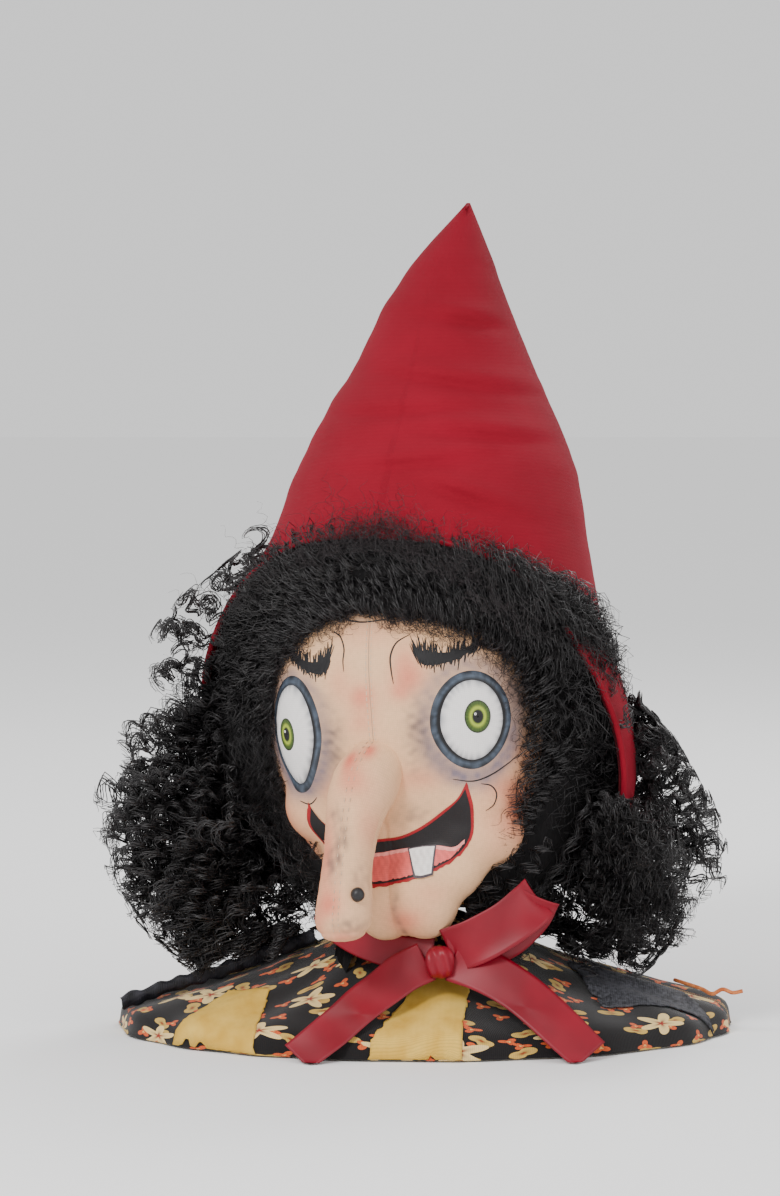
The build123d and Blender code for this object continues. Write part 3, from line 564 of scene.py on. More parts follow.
def paint_face(points):
    """The face's colour at each point: airbrushed blush, and painted shade round the eyes, at the face's sides and
    top, under the nose and in the chin's crease.
    """
    u, h = face_places(points)
    mottle = ripple(points, 26, 5) * 0.5 + ripple(points, 9, 6) * 0.5
    colours = np.tile(CREAM, (len(points), 1)) * (1 + 0.03 * mottle)[:, None]
    for centre, size_u, size_h, amount in FACE_BLUSHES:
        colours = tint(colours, spot(u, h, centre, size_u, size_h) * (amount + 0.2 * mottle), BLUSH)
    # uneven streaks that run through the painted shade below
    unevenness = np.clip(ripple(points, 7, 7) * 0.6 + ripple(points, 3.2, 8) * 0.6 + 0.35, 0, 1)
    for (eye_u, eye_h), side in ((NEAR_EYE, 1), (FAR_EYE, -1)):
        # painted shade round each eye: a grey ring, heavier below the eye
        reach = np.sqrt(((u - eye_u) / 27) ** 2 + ((h - eye_h) / 32) ** 2)
        lower = smooth_step(12, -24, h - eye_h)
        eye_shade_ring = np.exp(-((reach - 1.02) / 0.26) ** 2) * (0.5 + 0.3 * lower + 0.2 * unevenness)
        colours = tint(colours, eye_shade_ring, EYE_SHADE_GREY)
        # more painted shade beside the nose's bridge and at the temple
        inner = spot(u, h, (eye_u - side * 33, eye_h - 6), 7, 19)
        outer = spot(u, h, (eye_u + side * 32, eye_h + 8), 12, 26)
        colours = tint(colours, 0.3 * inner + 0.55 * inner * unevenness + 0.75 * outer, DARK_GREY)
    # painted shade where the face turns away at its sides and under the hair at the top
    edge = smooth_step(92, 124, np.abs(u)) * 0.85 + smooth_step(56, 78, h) * 0.75
    colours = tint(colours, edge * (0.75 + 0.4 * unevenness), DARK_GREY * 0.7)
    # painted shadow under the nose
    shadow_under_nose = spot(u, h, (20, -47), 16, 6) + spot(u, h, (-16, -48), 10, 6)
    colours = tint(colours, 0.34 * shadow_under_nose * (0.5 + unevenness), DARK_GREY)
    # painted shade in the crease between the chin's lobes
    chin_crease_shade = np.exp(-((u - 8 - 2 * np.sin(h * 0.2)) / 3.0) ** 2) * smooth_step(-86, -96, h)
    colours = tint(colours, 0.5 * chin_crease_shade * (0.5 + 0.6 * unevenness), DARK_GREY)
    return colours


def finish_head(local):
    """Sews the seam's valley and puckers into the head, paints it and gives back its search tree."""
    u, _ = face_places(local)
    in_front = smooth_step(10, -20, local[:, 1])
    seam_pull = np.exp(-((u - SEAM_U) / 1.6) ** 2) * in_front
    normals = unit(local * np.array([1, 1, 0.3]))
    puckers = ripple(local * np.array([1, 1, 2.5]), 16, 9) * np.exp(-((u - SEAM_U) / 12) ** 2) * 0.25
    local = local + normals * (-0.9 * seam_pull + puckers + 0.5 * ripple(local, 45, 12))[:, None]
    mesh = head_skin.data
    tree = BVHTree.FromPolygons([Vector(p) for p in local], [tuple(f.vertices) for f in mesh.polygons])
    set_points(head_skin, to_world(local) * MM)
    add_paint(mesh, paint_face(local))
    add_cloth(mesh, np.stack(face_places(local), -1) * MM)
    mesh.materials.clear()
    mesh.materials.append(face_cloth)
    mesh.polygons.foreach_set("use_smooth", [True] * len(mesh.polygons))
    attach(head_skin, "head")
    return tree


skin_tree = finish_head(mesh_points(head_skin) / MM)
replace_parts(head_skin, "head_stuffing", "face_panel_left", "face_panel_right", "head_back", "chin")


def on_skin(u, h, lift):
    """Points on the finished face, lift mm proud of it, in the frame."""
    found = []
    for place_u, place_h, up in zip(np.ravel(u), np.ravel(h), np.broadcast_to(lift, np.size(u))):
        start = head_point(place_u, np.clip(place_h, -107, 112), 60)
        start[2] = place_h
        aim = head_point(place_u, np.clip(place_h, -107, 112), -30)
        aim[2] = place_h
        hit, normal, _, _ = skin_tree.ray_cast(Vector(start), (Vector(aim) - Vector(start)).normalized())
        if hit is None:
            hit, normal, _, _ = skin_tree.find_nearest(Vector(aim))
        if normal.dot(Vector(aim) - Vector(start)) > 0:
            normal = -normal
        found.append(np.array(hit) + np.array(normal) * up)
    return to_world(np.array(found))


# ---------------------------------------------------------------- painted eyes
def disc_on_face(name, centre, outline, rings, paint, lift, dome=0.0):
    """A painted patch on the face. outline(angle) is its edge's (u, h) offset; paint(t, angle) its colour."""
    columns = 96
    angle = np.linspace(0, 2 * pi, columns, endpoint=False)
    edge_u, edge_h = outline(angle)
    steps = np.linspace(0, 1, rings)[1:]
    u = np.concatenate([[0.0], np.outer(steps, edge_u).ravel()]) + centre[0]
    h = np.concatenate([[0.0], np.outer(steps, edge_h).ravel()]) + centre[1]
    t = np.concatenate([[0.0], np.repeat(steps, columns)])
    a = np.concatenate([[0.0], np.tile(angle, rings - 1)])
    lifts = lift + dome * (1 - t**2)
    lifts[t == 1] = -0.4
    verts = on_skin(u, h, lifts)
    faces = [[0, 1 + i, 1 + (i + 1) % columns] for i in range(columns)]
    faces += [[int(i) + 1 for i in f] for f in grid_faces(rings - 1, columns, True)]
    cloth = np.stack([u * MM, h * MM], -1)
    return mesh_piece(name, verts, faces, "head", eye_paint, paint(t, a), cloth)


def almond(half_u, top, bottom, point):
    """An oval outline whose lower end is pulled to a point by the given share."""
    def outline(angle):
        c, s = np.cos(angle), np.sin(angle)
        half_h = np.where(s > 0, top, bottom)
        narrow = np.where(s < 0, 1 - point * np.abs(s) ** 1.5, 1.0)
        return half_u * c * narrow, half_h * s
    return outline


WHITE = np.array(rgb(236, 232, 230))
RIM = np.array(rgb(70, 80, 94))
GREEN = np.array(rgb(64, 88, 26))
LIME = np.array(rgb(168, 186, 56))


def paint_rim(t, angle):
    streaks = 0.5 + 0.5 * np.sin(angle * 41 + 5 * np.sin(angle * 6) + t * 9)
    broad = 0.5 + 0.5 * np.sin(angle * 3 + 2.2)
    tone = np.clip(0.5 + 0.5 * streaks + 0.3 * broad, 0.3, 1.35)
    colours = np.tile(RIM, (len(t), 1)) * tone[:, None]
    colours = tint(colours, smooth_step(0.86, 0.80, t), INK)
    edge = smooth_step(0.90, 0.97, t + 0.025 * np.sin(angle * 9 + np.sin(angle * 4)))
    return tint(colours, edge * 0.85, INK * 1.2)


def paint_white(t, angle):
    streaks = np.sin(angle * 23 + 4 * np.sin(angle * 3)) * 0.5 + 0.5
    shade = smooth_step(0.72, 1.0, t) * (0.3 + 0.35 * streaks) + 0.5 * smooth_step(0.93, 1.0, t)
    colours = np.tile(WHITE, (len(t), 1)) * (1 - 0.05 * streaks * t)[:, None]
    return tint(colours, shade, RIM * 1.1)


def paint_iris(t, angle):
    rays = 0.5 + 0.5 * np.sin(angle * 31 + 2.0 * np.sin(angle * 7))
    colours = np.tile(GREEN, (len(t), 1)) * (0.65 + 0.5 * rays)[:, None]
    colours = tint(colours, np.exp(-((t - 0.52) / 0.12) ** 2) * 0.9, LIME)
    colours = tint(colours, smooth_step(0.82, 0.97, t), INK * 1.5)
    return tint(colours, smooth_step(0.42, 0.36, t), INK * 0.4)


def paint_glint(t, angle):
    return np.tile(WHITE * 1.05, (len(t), 1))


def build_eye(side, centre, half_u, top, bottom, point, iris, iris_u, iris_h):
    outer = almond(half_u + 6.0, top + 5.5, bottom + 5.5, point)
    disc_on_face(f"{side}_eye_rim", centre, outer, 16, paint_rim, 0.5)
    inner = almond(half_u, top, bottom, point)
    white = disc_on_face(f"{side}_eye_white", centre, inner, 18, paint_white, 1.0, dome=1.2)
    disc_on_face(f"{side}_iris", iris, almond(iris_u, iris_h, iris_h, 0), 22, paint_iris, 2.25, dome=0.2)
    glint_centre = (iris[0] - 1.4, iris[1] + 1.6)
    disc_on_face(f"{side}_glint", glint_centre, almond(1.0, 1.1, 1.1, 0), 4, paint_glint, 2.75)
    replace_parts(white, f"{side}_eye")


build_eye("right", NEAR_EYE, 19.7, 24.0, 23.5, 0.10, (64.5, 6.0), 8.2, 9.8)
build_eye("left", FAR_EYE, 19.7, 29.0, 31.0, 0.30, (-59.0, 3.5), 7.8, 9.8)


# ---------------------------------------------------------------- brush strokes on the face
def stroke_strip(line, widths, lift):
    """Points and faces of one flat brush stroke along a line of (u, h) on the face."""
    line = np.asarray(line, float)
    along = unit(np.gradient(line, axis=0))
    side = np.stack([-along[:, 1], along[:, 0]], -1)
    widths = np.broadcast_to(widths, len(line))[:, None]
    rows = np.stack([line - side * widths / 2, line, line + side * widths / 2], 1).reshape(-1, 2)
    lifts = np.tile([0.05, lift, 0.05], len(line))
    return on_skin(rows[:, 0], rows[:, 1], lifts), grid_faces(len(line), 3), rows


def strokes(name, lines, material, lift=0.45):
    """Many strokes as one piece. lines holds (points, widths)."""
    all_verts, all_faces, all_rows, start = [], [], [], 0
    for line, widths in lines:
        verts, faces, rows = stroke_strip(line, widths, lift)
        all_verts.append(verts)
        all_faces.append(faces + start)
        all_rows.append(rows)
        start += len(verts)
    verts, rows = np.concatenate(all_verts), np.concatenate(all_rows)
    return mesh_piece(name, verts, np.concatenate(all_faces), "head", material, None, rows * MM)


def taper(count, width, ends=0.15):
    t = np.linspace(0, 1, count)
    return width * (ends + (1 - ends) * np.sin(pi * np.clip(t, 0, 1)) ** 0.6)


def line_with_taper(points, width):
    line = catmull(points)
    return line, taper(len(line), width)


def build_brow(name, spine, seed, mirror):
    """A bristly brow: short strokes that stand on a spine and lean outward."""
    rng = np.random.default_rng(seed)
    spine = catmull(spine, 12)
    lines = [(spine, np.interp(np.linspace(0, 1, len(spine)), [0, 0.12, 0.5, 1], [4, 9, 5, 1.2]))]
    for _ in range(95):
        t = rng.random() ** 1.2
        root = sample(spine, t) + rng.normal(0, 1.0, 2)
        height = (12 - 6 * t) * rng.uniform(0.5, 1.0)
        lean = (-0.15 + 0.9 * t + rng.normal(0, 0.22)) * mirror
        drop = height * rng.uniform(0.3, 0.8)
        line = catmull([root - [lean * 2, drop], root + [lean * 2, 0], root + [lean * height, height]], 4)
        lines.append((line, taper(len(line), rng.uniform(0.7, 1.3), 0.2)))
    return strokes(name, lines, ink_paint, 0.5)


build_brow("right_brow", [(34, 45), (42, 42), (54, 42), (66, 45), (82, 50)], 21, 1)
build_brow("left_brow", [(-24, 47), (-31, 42), (-42, 43), (-54, 47), (-66, 52)], 22, -1)

frown_lines = [
    ([(30, 57), (21, 53), (17, 46), (17, 38), (18, 30)], 1.1),
    ([(-25, 62), (-18, 59), (-14, 52), (-14, 45), (-13, 39)], 1.0),
    ([(-21, 71), (-12, 67.5), (-1, 66), (12, 66.5), (26, 68)], 0.9),
    ([(48, -28.5), (60, -31), (73, -28.5), (84, -24), (91, -20)], 0.9),
    ([(64, -33), (70, -35), (73, -40), (71, -46), (66, -49)], 1.0),
    ([(-44, -34), (-50, -38), (-57, -36)], 0.8),
    ([(-38, -44), (-46, -54), (-50, -66)], 0.7),
]
strokes("face_lines", [line_with_taper(points, width) for points, width in frown_lines], ink_paint)

stitch_lines = []
for h in np.arange(-16, 78, 3.4):
    for offset in (-1.7, 1.5):
        stitch_lines.append((np.array([(3 + offset, h), (3 + offset, h + 1.2), (3 + offset, h + 2.2)]), 0.55))
strokes("face_seam_stitches", stitch_lines, thread_cream, 0.3)
seam_shadow = [(catmull([(3, -18), (3.3, 20), (2.8, 50), (3, 78)], 10), 0.5)]
strokes("face_seam", seam_shadow, plain_material("seam_shadow", rgb(168, 138, 112), 0.9), 0.12)

# ---------------------------------------------------------------- painted mouth
# from the far corner to the near one, as (u, h)
UPPER_LIP = [(-51, -37), (-44, -50), (-30, -58), (-16, -60.5), (-2, -60), (13, -59), (28, -54), (42, -46),
             (50, -40), (56, -31)]
LOWER_LIP = [(-51, -37), (-55, -52), (-52, -68), (-38, -79), (-20, -85), (-2, -87), (18, -84.5), (36, -80),
             (52, -73), (59, -62), (59, -48), (56, -31)]


def resample(points, count):
    line = catmull(points, 10)
    along = distances(line)
    return sample(line, np.linspace(0, along[-1], count), along)


def between(name, first, second, rows, colour, lift, jitter=0.0, seed=1):
    """A painted area between two lines on the face."""
    columns = 90
    a, b = resample(first, columns), resample(second, columns)
    if jitter:
        rng = np.random.default_rng(seed)
        b = b + np.stack([np.zeros(columns), rng.normal(0, jitter, columns)], -1)
    t = np.linspace(0, 1, rows)[:, None, None]
    grid = (a[None] * (1 - t) + b[None] * t).reshape(-1, 2)
    lifts = np.full(len(grid), lift)
    tone = 1 + 0.10 * np.sin(grid[:, 0] * 1.3 + 2 * np.sin(grid[:, 1] * 0.7))
    colours = np.asarray(colour)[None, :] * tone[:, None]
    return mesh_piece(name, on_skin(grid[:, 0], grid[:, 1], lifts), grid_faces(rows, columns), "head",
                      mouth_paint, colours, grid * MM)


between("mouth_red", UPPER_LIP, LOWER_LIP, 14, rgb(158, 14, 26), 0.30, 0.35, 3)
inner_upper = [(-49.5, -40), (-43, -51.6), (-30, -59.6), (-16, -62.1), (-2, -61.6), (13, -60.6), (28, -55.8),
               (42, -48), (50.5, -41), (54.8, -35)]
inner_lower = [(-50, -42), (-53.6, -53), (-50.6, -67), (-37.6, -77.6), (-20, -83.4), (-2, -85.2), (18, -82.9),
               (35.6, -78.6), (51, -72), (57.4, -61.6), (57.4, -49), (55, -36)]
between("mouth_black", inner_upper, inner_lower, 12, rgb(22, 16, 18), 0.55)
gum_top = [(-51, -60), (-38, -65), (-20, -68), (-4, -68), (13, -66.5), (36, -66.5), (48, -68), (54.5, -64)]
gum_bottom = [(-50, -66), (-37, -76.5), (-20, -82), (-2, -84), (17, -82), (34, -78), (49, -72), (54.5, -65)]
between("mouth_gum", gum_top, gum_bottom, 8, rgb(226, 98, 92), 0.8, 0.3, 4)
between("gum_edge", gum_top, [(u, h - 2.2) for u, h in gum_top], 4, rgb(240, 150, 140), 1.0, 0.2, 5)
between("tooth_edge", [(17, -66.5), (27, -65.8), (37.2, -66.2)], [(22, -83), (27, -83.5), (34, -82.5)], 8,
        rgb(70, 60, 66), 1.05)
between("tooth", [(18.2, -67.2), (27, -66.6), (36, -67)], [(23, -81.8), (27, -82.2), (33, -81.4)], 8,
        rgb(240, 236, 232), 1.35)

# ---------------------------------------------------------------- nose
# the nose's middle line and radii in head coordinates, from the brow to the tip
NOSE_SPINE = [(3, -78, -6), (1, -92, -15), (-3, -108, -29), (-7, -120, -48), (-9, -129, -68),
              (-10, -137, -89), (-11, -141, -103), (-11, -142, -111)]
NOSE_RADII = [7, 16.5, 19.5, 15.8, 14.4, 15.8, 14.8, 5.0]
NOSE_ROWS, NOSE_COLUMNS = 110, 72
# marks on the nose: (X, share of the way down), half width, half height as a share, strength
NOSE_BLUSHES = [((-6, 0.24), 5, 0.05, 0.95), ((4, 0.20), 4, 0.04, 0.95), ((-2, 0.31), 10, 0.05, 0.6),
                ((-18, 0.55), 7, 0.14, 0.7), ((-14, 0.74), 8, 0.07, 0.8), ((-22, 0.82), 6, 0.12, 0.5),
                ((-8, 0.93), 9, 0.05, 0.6), ((6, 0.45), 6, 0.08, 0.35)]
# the second list makes grey patches on the nose's front
NOSE_GREY_PATCHES = [((-12, 0.58), 5, 0.06, 0.9), ((-7, 0.50), 4, 0.04, 0.8), ((-4, 0.86), 8, 0.05, 0.6),
                ((-12, 0.42), 5, 0.04, 0.5), ((2, 0.64), 4, 0.05, 0.5)]


def build_nose():
    t = np.linspace(0, 1, NOSE_ROWS)
    centre = sample(catmull(NOSE_SPINE, 20), t)
    knots = np.linspace(0, 1, len(NOSE_RADII))
    radius = through(np.stack([knots, NOSE_RADII], -1), 1, t)
    radius[-12:] = radius[-12] * np.sqrt(np.clip(1 - np.linspace(0, 1, 12) ** 2, 0.0004, 1))
    side = np.tile([1.0, 0, 0], (NOSE_ROWS, 1))
    ahead = unit(np.cross(side, unit(np.gradient(centre, axis=0))))
    angle = np.linspace(0, 2 * pi, NOSE_COLUMNS, endpoint=False)
    ring = side[:, None] * np.cos(angle)[None, :, None] + ahead[:, None] * np.sin(angle)[None, :, None]
    verts = (centre[:, None] + radius[:, None, None] * ring).reshape(-1, 3)
    rows = np.repeat(t, NOSE_COLUMNS)
    around = np.tile(angle, NOSE_ROWS)
    outward = ring.reshape(-1, 3)
    facing = np.where(outward[:, 1] < 0, 1, 0)
    seam = np.exp(-((verts[:, 0] - np.repeat(centre[:, 0], NOSE_COLUMNS) - 1) / 1.5) ** 2) * facing
    dents = 0.5 * ripple(verts, 22, 31) + 0.25 * ripple(verts * [1, 1, 2], 9, 32)
    verts = verts + outward * (dents - 0.8 * seam)[:, None]
    colours = np.tile(CREAM, (len(verts), 1)) * (1 + 0.03 * ripple(verts, 14, 33))[:, None]
    for centre_at, size, reach, amount in NOSE_BLUSHES:
        mark = spot(verts[:, 0], rows, centre_at, size, reach) * facing
        colours = tint(colours, mark * amount, BLUSH)
    unevenness = 0.7 + 0.5 * ripple(verts, 3, 34)
    for centre_at, size, reach, amount in NOSE_GREY_PATCHES:
        mark = spot(verts[:, 0], rows, centre_at, size, reach) * facing
        colours = tint(colours, mark * amount * unevenness, DARK_GREY)
    shade = smooth_step(0.35, 0.95, np.cos(around)) * 0.22 + smooth_step(0.35, 0.95, -np.cos(around)) * 0.1
    colours = tint(colours, shade * smooth_step(0.1, 0.3, rows), np.array(rgb(190, 140, 116)))
    cloth = np.stack([around * 16 * MM, rows * 130 * MM], -1)
    faces = capped_faces(NOSE_ROWS, NOSE_COLUMNS)
    piece = mesh_piece("nose_skin", to_world(verts), faces, "head", face_cloth, colours, cloth)
    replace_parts(piece, "nose")
    return centre, radius, ahead


nose_centre, nose_radius, nose_ahead = build_nose()


def on_nose(x, t, lift):
    """A point on the nose's front, x mm to the side of its middle, t of the way down."""
    centre, ahead = sample(nose_centre, t), sample(nose_ahead, t)
    radius = np.interp(t, np.linspace(0, 1, NOSE_ROWS), nose_radius) + lift
    if ahead[1] > 0:
        ahead = -ahead
    side = np.clip(x / radius, -0.98, 0.98)
    return centre + radius * (np.array([1.0, 0, 0]) * side + ahead * np.sqrt(1 - side**2))


stitch_paths = []
for t in np.arange(0.14, 0.90, 0.032):
    for x in (-0.7, 2.6):
        stitch_paths.append([on_nose(x, t + k * 0.006, 0.05) for k in range(3)])
verts, faces = tubes(np.array(stitch_paths), 0.28, 4)
mesh_piece("nose_seam_stitches", to_world(verts), faces, "head", thread_cream)

mole_centre = to_world(on_nose(12.0, 0.70, 1.0))
bead = egg("mole_bead", (0, 0, 0), (4.0, 4.0, 4.2), segments=32, rings=20)
bead_points = mesh_points(bead) / MM
bead_points *= (1 + 0.05 * ripple(bead_points, 3, 41))[:, None]
set_points(bead, (bead_points + mole_centre) * MM)
bead.data.materials.append(hard_material("painted_bead", tuple(INK * 1.2), 0.45))
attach(bead, "head")
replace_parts(bead, "mole")

# ---------------------------------------------------------------- hood
HOOD_TOP = HOOD_SECTIONS[-1, 0]
HOOD_BOTTOM = HOOD_SECTIONS[0, 0]
ARCH_TOP = HOOD_EDGE[-1, 0]
ARCH_BOTTOM = 286                # where the face opening begins to close


def hood_section(height):
    """The hood's middle X, middle Y, half width and half depth at a height."""
    return [through(HOOD_SECTIONS, i, height) for i in (1, 2, 3, 4)]


def hood_ring(height, angle, grow):
    """A point on the hood, angle measured from the front of the face."""
    cx, cy, rx, ry = hood_section(height)
    local = np.stack([(rx + grow) * np.sin(angle), -(ry + grow) * np.cos(angle), 0 * angle], -1) @ YAW_ONLY.T
    return local + np.stack([cx + 0 * angle, cy + 0 * angle, height + 0 * angle], -1)


def edge_angle(height):
    """Half the angle of the face opening at a height; 0 above the arch."""
    if height >= ARCH_TOP:
        return 0.0
    cx, cy, _, ry = hood_section(height)
    back = np.array([cx, cy, 0]) @ YAW_ONLY[:, 1]
    opening = float(through(HOOD_EDGE, 1, height))
    return float(np.arccos(np.clip((back - opening) / ry, -1, 0.9999)))


# creases across the hood's front: height, middle X, half length, slope
HOOD_CREASES = [(424, 24, 24, -0.12), (388, 14, 40, -0.15), (371, -14, 34, 0.06), (357, 34, 34, -0.10),
                (341, -6, 36, 0.10), (322, 22, 26, -0.35)]


def hood_creases(points):
    """Grooves with a soft roll of cloth above each."""
    depth = np.zeros(len(points))
    in_front = smooth_step(40, 10, points[:, 1])
    for height, middle, half, slope in HOOD_CREASES:
        above = points[:, 2] - height - slope * (points[:, 0] - middle)
        length = np.exp(-((points[:, 0] - middle) / half) ** 2)
        depth += length * (2.4 * np.exp(-((above - 8) / 5.5) ** 2) - 3.4 * np.exp(-(above / 3.4) ** 2))
    return depth * in_front


def hood_folds(points):
    """How far the cotton stands out or in: soft level wrinkles and a few larger folds."""
    level = points * np.array([0.45, 0.45, 1.6])
    high = smooth_step(290, 350, points[:, 2]) * smooth_step(485, 430, points[:, 2])
    big = ripple(points * np.array([0.5, 0.5, 1.0]), 80, 51) * 2.2
    wrinkles = np.maximum(ripple(level * np.array([0.7, 0.7, 1.0]), 26, 52), -0.2) * (0.3 + 1.3 * high)
    fine = ripple(level, 9, 53) * 0.12
    return big + wrinkles + fine + hood_creases(points)


def hood_shell(name, grow, material, columns, top):
    """One layer of the hood: the piece, its cloth's area, its points by row and the rows' heights."""
    low = np.linspace(HOOD_BOTTOM, ARCH_BOTTOM, 90, endpoint=False)
    arch = ARCH_BOTTOM + (ARCH_TOP - ARCH_BOTTOM) * (1 - (1 - np.linspace(0, 1, 26)) ** 2)
    peak = np.linspace(ARCH_TOP, top, 90)[1:]
    heights = np.concatenate([low, arch, peak])
    verts, cloth = [], []
    for height in heights:
        open_angle = edge_angle(height)
        angle = np.linspace(open_angle, 2 * pi - open_angle, columns)
        verts.append(hood_ring(height, angle, grow))
        cloth.append(np.stack([(angle - pi) * 100 * MM, np.full(columns, height * MM)], -1))
    verts, cloth = np.concatenate(verts), np.concatenate(cloth)
    cx, cy, _, _ = hood_section(verts[:, 2])
    outward = unit(verts - np.stack([cx, cy, verts[:, 2]], -1))
    near_tip = smooth_step(HOOD_TOP - 2, HOOD_TOP - 40, verts[:, 2])
    verts = verts + outward * (near_tip * hood_folds(verts))[:, None]
    seam_angle = np.abs(cloth[:, 0] / MM / 100)
    verts = verts - outward * (0.9 * np.exp(-(seam_angle / 0.02) ** 2))[:, None]
    piece = mesh_piece(name, verts, grid_faces(len(heights), columns), "head", material, None, cloth)
    weld = piece.modifiers.new("weld", "WELD")
    weld.merge_threshold = 0.02 * MM
    apply_modifiers(piece)
    area = sheet_area(piece)
    points = mesh_points(piece)
    turn_outward(piece, points - points.mean(axis=0) * np.array([1, 1, 0.9]))
    thicken(piece, 1.2)
    return piece, area, verts.reshape(len(heights), columns, 3), heights


hood, hood_area, hood_grid, hood_heights = hood_shell("hood_shell", 0.0, hood_cloth, 220,
                                                      HOOD_TOP)
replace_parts(hood, "hood")
lining, lining_area, _, _ = hood_shell("hood_lining_shell", -2.2, shaded_lining_cloth, 150, 440)
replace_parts(lining, "hood_lining")

def hood_roll(name, line, radius, sides, along):
    """A rolled edge of the hood's cloth on a line; along is each point's place on the cloth."""
    verts, faces = tubes(line[None], radius, sides)
    cloth = np.stack([np.tile(np.arange(sides), len(line)), np.repeat(along, sides)], -1) * MM
    mesh_piece(name, verts, faces, "head", hood_cloth, None, cloth)


opening_rows = hood_grid[hood_heights < ARCH_TOP - 0.2]
rim_path = np.concatenate([opening_rows[:, 0], opening_rows[::-1, -1]])
rim_along = distances(rim_path)
rim_places = np.linspace(0, rim_along[-1], 420)
hood_roll("hood_rolled_edge", sample(rim_path, rim_places, rim_along), 1.9, 12, rim_places)
hood_roll("hood_hem", hood_grid[0], 1.6, 10, np.arange(len(hood_grid[0])) * 3.0)

# ---------------------------------------------------------------- hair
FACE_NEAR_U, FACE_FAR_U = 62.0, 54.0     # half widths of the face's oval inside the hair, in degrees
FACE_TOP_H, FACE_H, FACE_MIDDLE = 89.0, 84.0, -14.0


def wig_point(around, ring, out):
    """A point in the wig: around the face's oval from its top, ring times its size, out mm off the head."""
    half = np.where(np.sin(around) > 0, FACE_NEAR_U, FACE_FAR_U)
    degrees = half * ring * np.sin(around)
    drop = np.cos(around)
    h = FACE_MIDDLE + ring * np.where(drop > 0, FACE_TOP_H * np.abs(drop) ** 0.72, FACE_H * drop)
    capped = np.clip(h, -104, 108)
    local = head_point(degrees * MM_PER_DEGREE, capped, 0)
    angle = np.radians(degrees)
    normal = np.stack([np.sin(angle), -np.cos(angle), 0.25 * (h / 100)], -1)
    local = local + normal * np.asarray(out)[..., None]
    local[..., 2] = h + 0.25 * (h / 100) * np.asarray(out)
    return local


def ring_fit(around, ring):
    """Draws the hair in above the face, and on the near side where the hood shows beside it."""
    trim = 0.2 * np.exp(-((around - 0.95) / 0.55) ** 2)
    return 1 + (ring - 1) * (1 - 0.46 * np.clip(np.cos(around), 0, 1) - trim)


def arch_fill(around, ring):
    """How much further the hair stands out at the top, where it fills the hood's arch."""
    return 12 * np.clip(np.cos(around), 0, 1) * smooth_step(1.1, 1.35, ring)


def shoulder_height(x, y):
    """How high the shoulders stand at a place; 0 outside them."""
    height = np.zeros(x.shape)
    for level in np.linspace(1, 66, 40):
        rx, ry = (float(through(SHOULDER_SECTIONS, i, level)) for i in (1, 2))
        height = np.where((x / rx) ** 2 + (y / ry) ** 2 <= 1, level, height)
    return height


def hair_floor(points):
    """The lowest a hair may hang at rest so that it clears the shoulders at every pose of the head."""
    x, y = points[..., 0], points[..., 1]
    height = np.zeros(x.shape)
    for angle in np.radians([TURN_RANGE[0], 0, 16, 33, TURN_RANGE[1]]):
        turned_x, turned_y = x * cos(angle) - y * sin(angle), x * sin(angle) + y * cos(angle)
        height = np.maximum(height, shoulder_height(turned_x, turned_y))
    reach = cos(YAW) * y - sin(YAW) * x
    tip = np.maximum(-radians(NOD_RANGE[0]) * reach, -radians(NOD_RANGE[1]) * reach)
    trim = 12 * np.exp(-((y + 12) / 26) ** 2) * (x < -50) + 4.0 * (x > 70)
    return height + np.maximum(tip, 0) + trim + 5


def locks(rng, lines, strands, curl, pitch, spread, stray=0.5):
    """Crimped locks: every line becomes a bundle of strands that wind round it together.

    curl and pitch are each line's winding radius and length; spread is how far the strands stand
    apart, and stray how much each of them wavers."""
    count = len(lines)
    along = np.concatenate([np.zeros((count, 1)),
                            np.cumsum(np.linalg.norm(np.diff(lines, axis=1), axis=2), axis=1)], axis=1)
    run = unit(np.gradient(lines, axis=1))
    across = unit(np.cross(run, rng.normal(size=(count, 1, 3))))
    up = np.cross(run, across)

    def each(values):
        return np.repeat(values, strands, axis=0)

    total = count * strands
    along, across, up = each(along), each(across), each(up)
    wind = (each(rng.uniform(0, 2 * pi, (count, 1))) + rng.normal(0, 0.35, (total, 1))
            + 2 * pi * along / each(np.asarray(pitch)[:, None]) * rng.normal(1, 0.05, (total, 1)))
    reach = each(np.asarray(curl)[:, None]) * rng.normal(1, 0.22, (total, 1)) * np.clip(along / 7, 0, 1)
    apart = rng.normal(0, spread, (2, total, 1)) * (0.55 + along / 45)
    fuzz = rng.uniform(0, 2 * pi, (2, total, 1))
    rate = 2 * pi / rng.uniform(3.5, 8, (2, total, 1))
    side = reach * np.cos(wind) + apart[0] + stray * np.sin(along * rate[0] + fuzz[0])
    rise = reach * np.sin(wind) + apart[1] + stray * np.sin(along * rate[1] + fuzz[1])
    return each(lines) + across * side[..., None] + up * rise[..., None]


def straight_lines(roots, ways, length, steps, sag):
    """Lines that leave their roots along their ways and droop."""
    t = np.linspace(0, 1, steps)[None, :, None]
    reach = np.asarray(length)[:, None, None]
    return roots[:, None] + unit(ways)[:, None] * reach * t - np.array([0, 0, 1.0]) * reach * sag * t**2


def strand_piece(name, paths, radius, material):
    """One piece of thin tapering strands that stay clear of the shoulders."""
    count, steps, _ = paths.shape
    spread = np.linspace(0, 7, count)[np.random.default_rng(count).permutation(count)][:, None]
    paths[..., 2] = np.maximum(paths[..., 2], hair_floor(paths) + spread)
    radii = radius * np.interp(np.linspace(0, 1, steps), [0, 0.7, 1], [1, 1, 0.35])
    verts, faces = tubes(paths, radii[None, :], 3)
    return mesh_piece(name, verts, faces, "head", material)


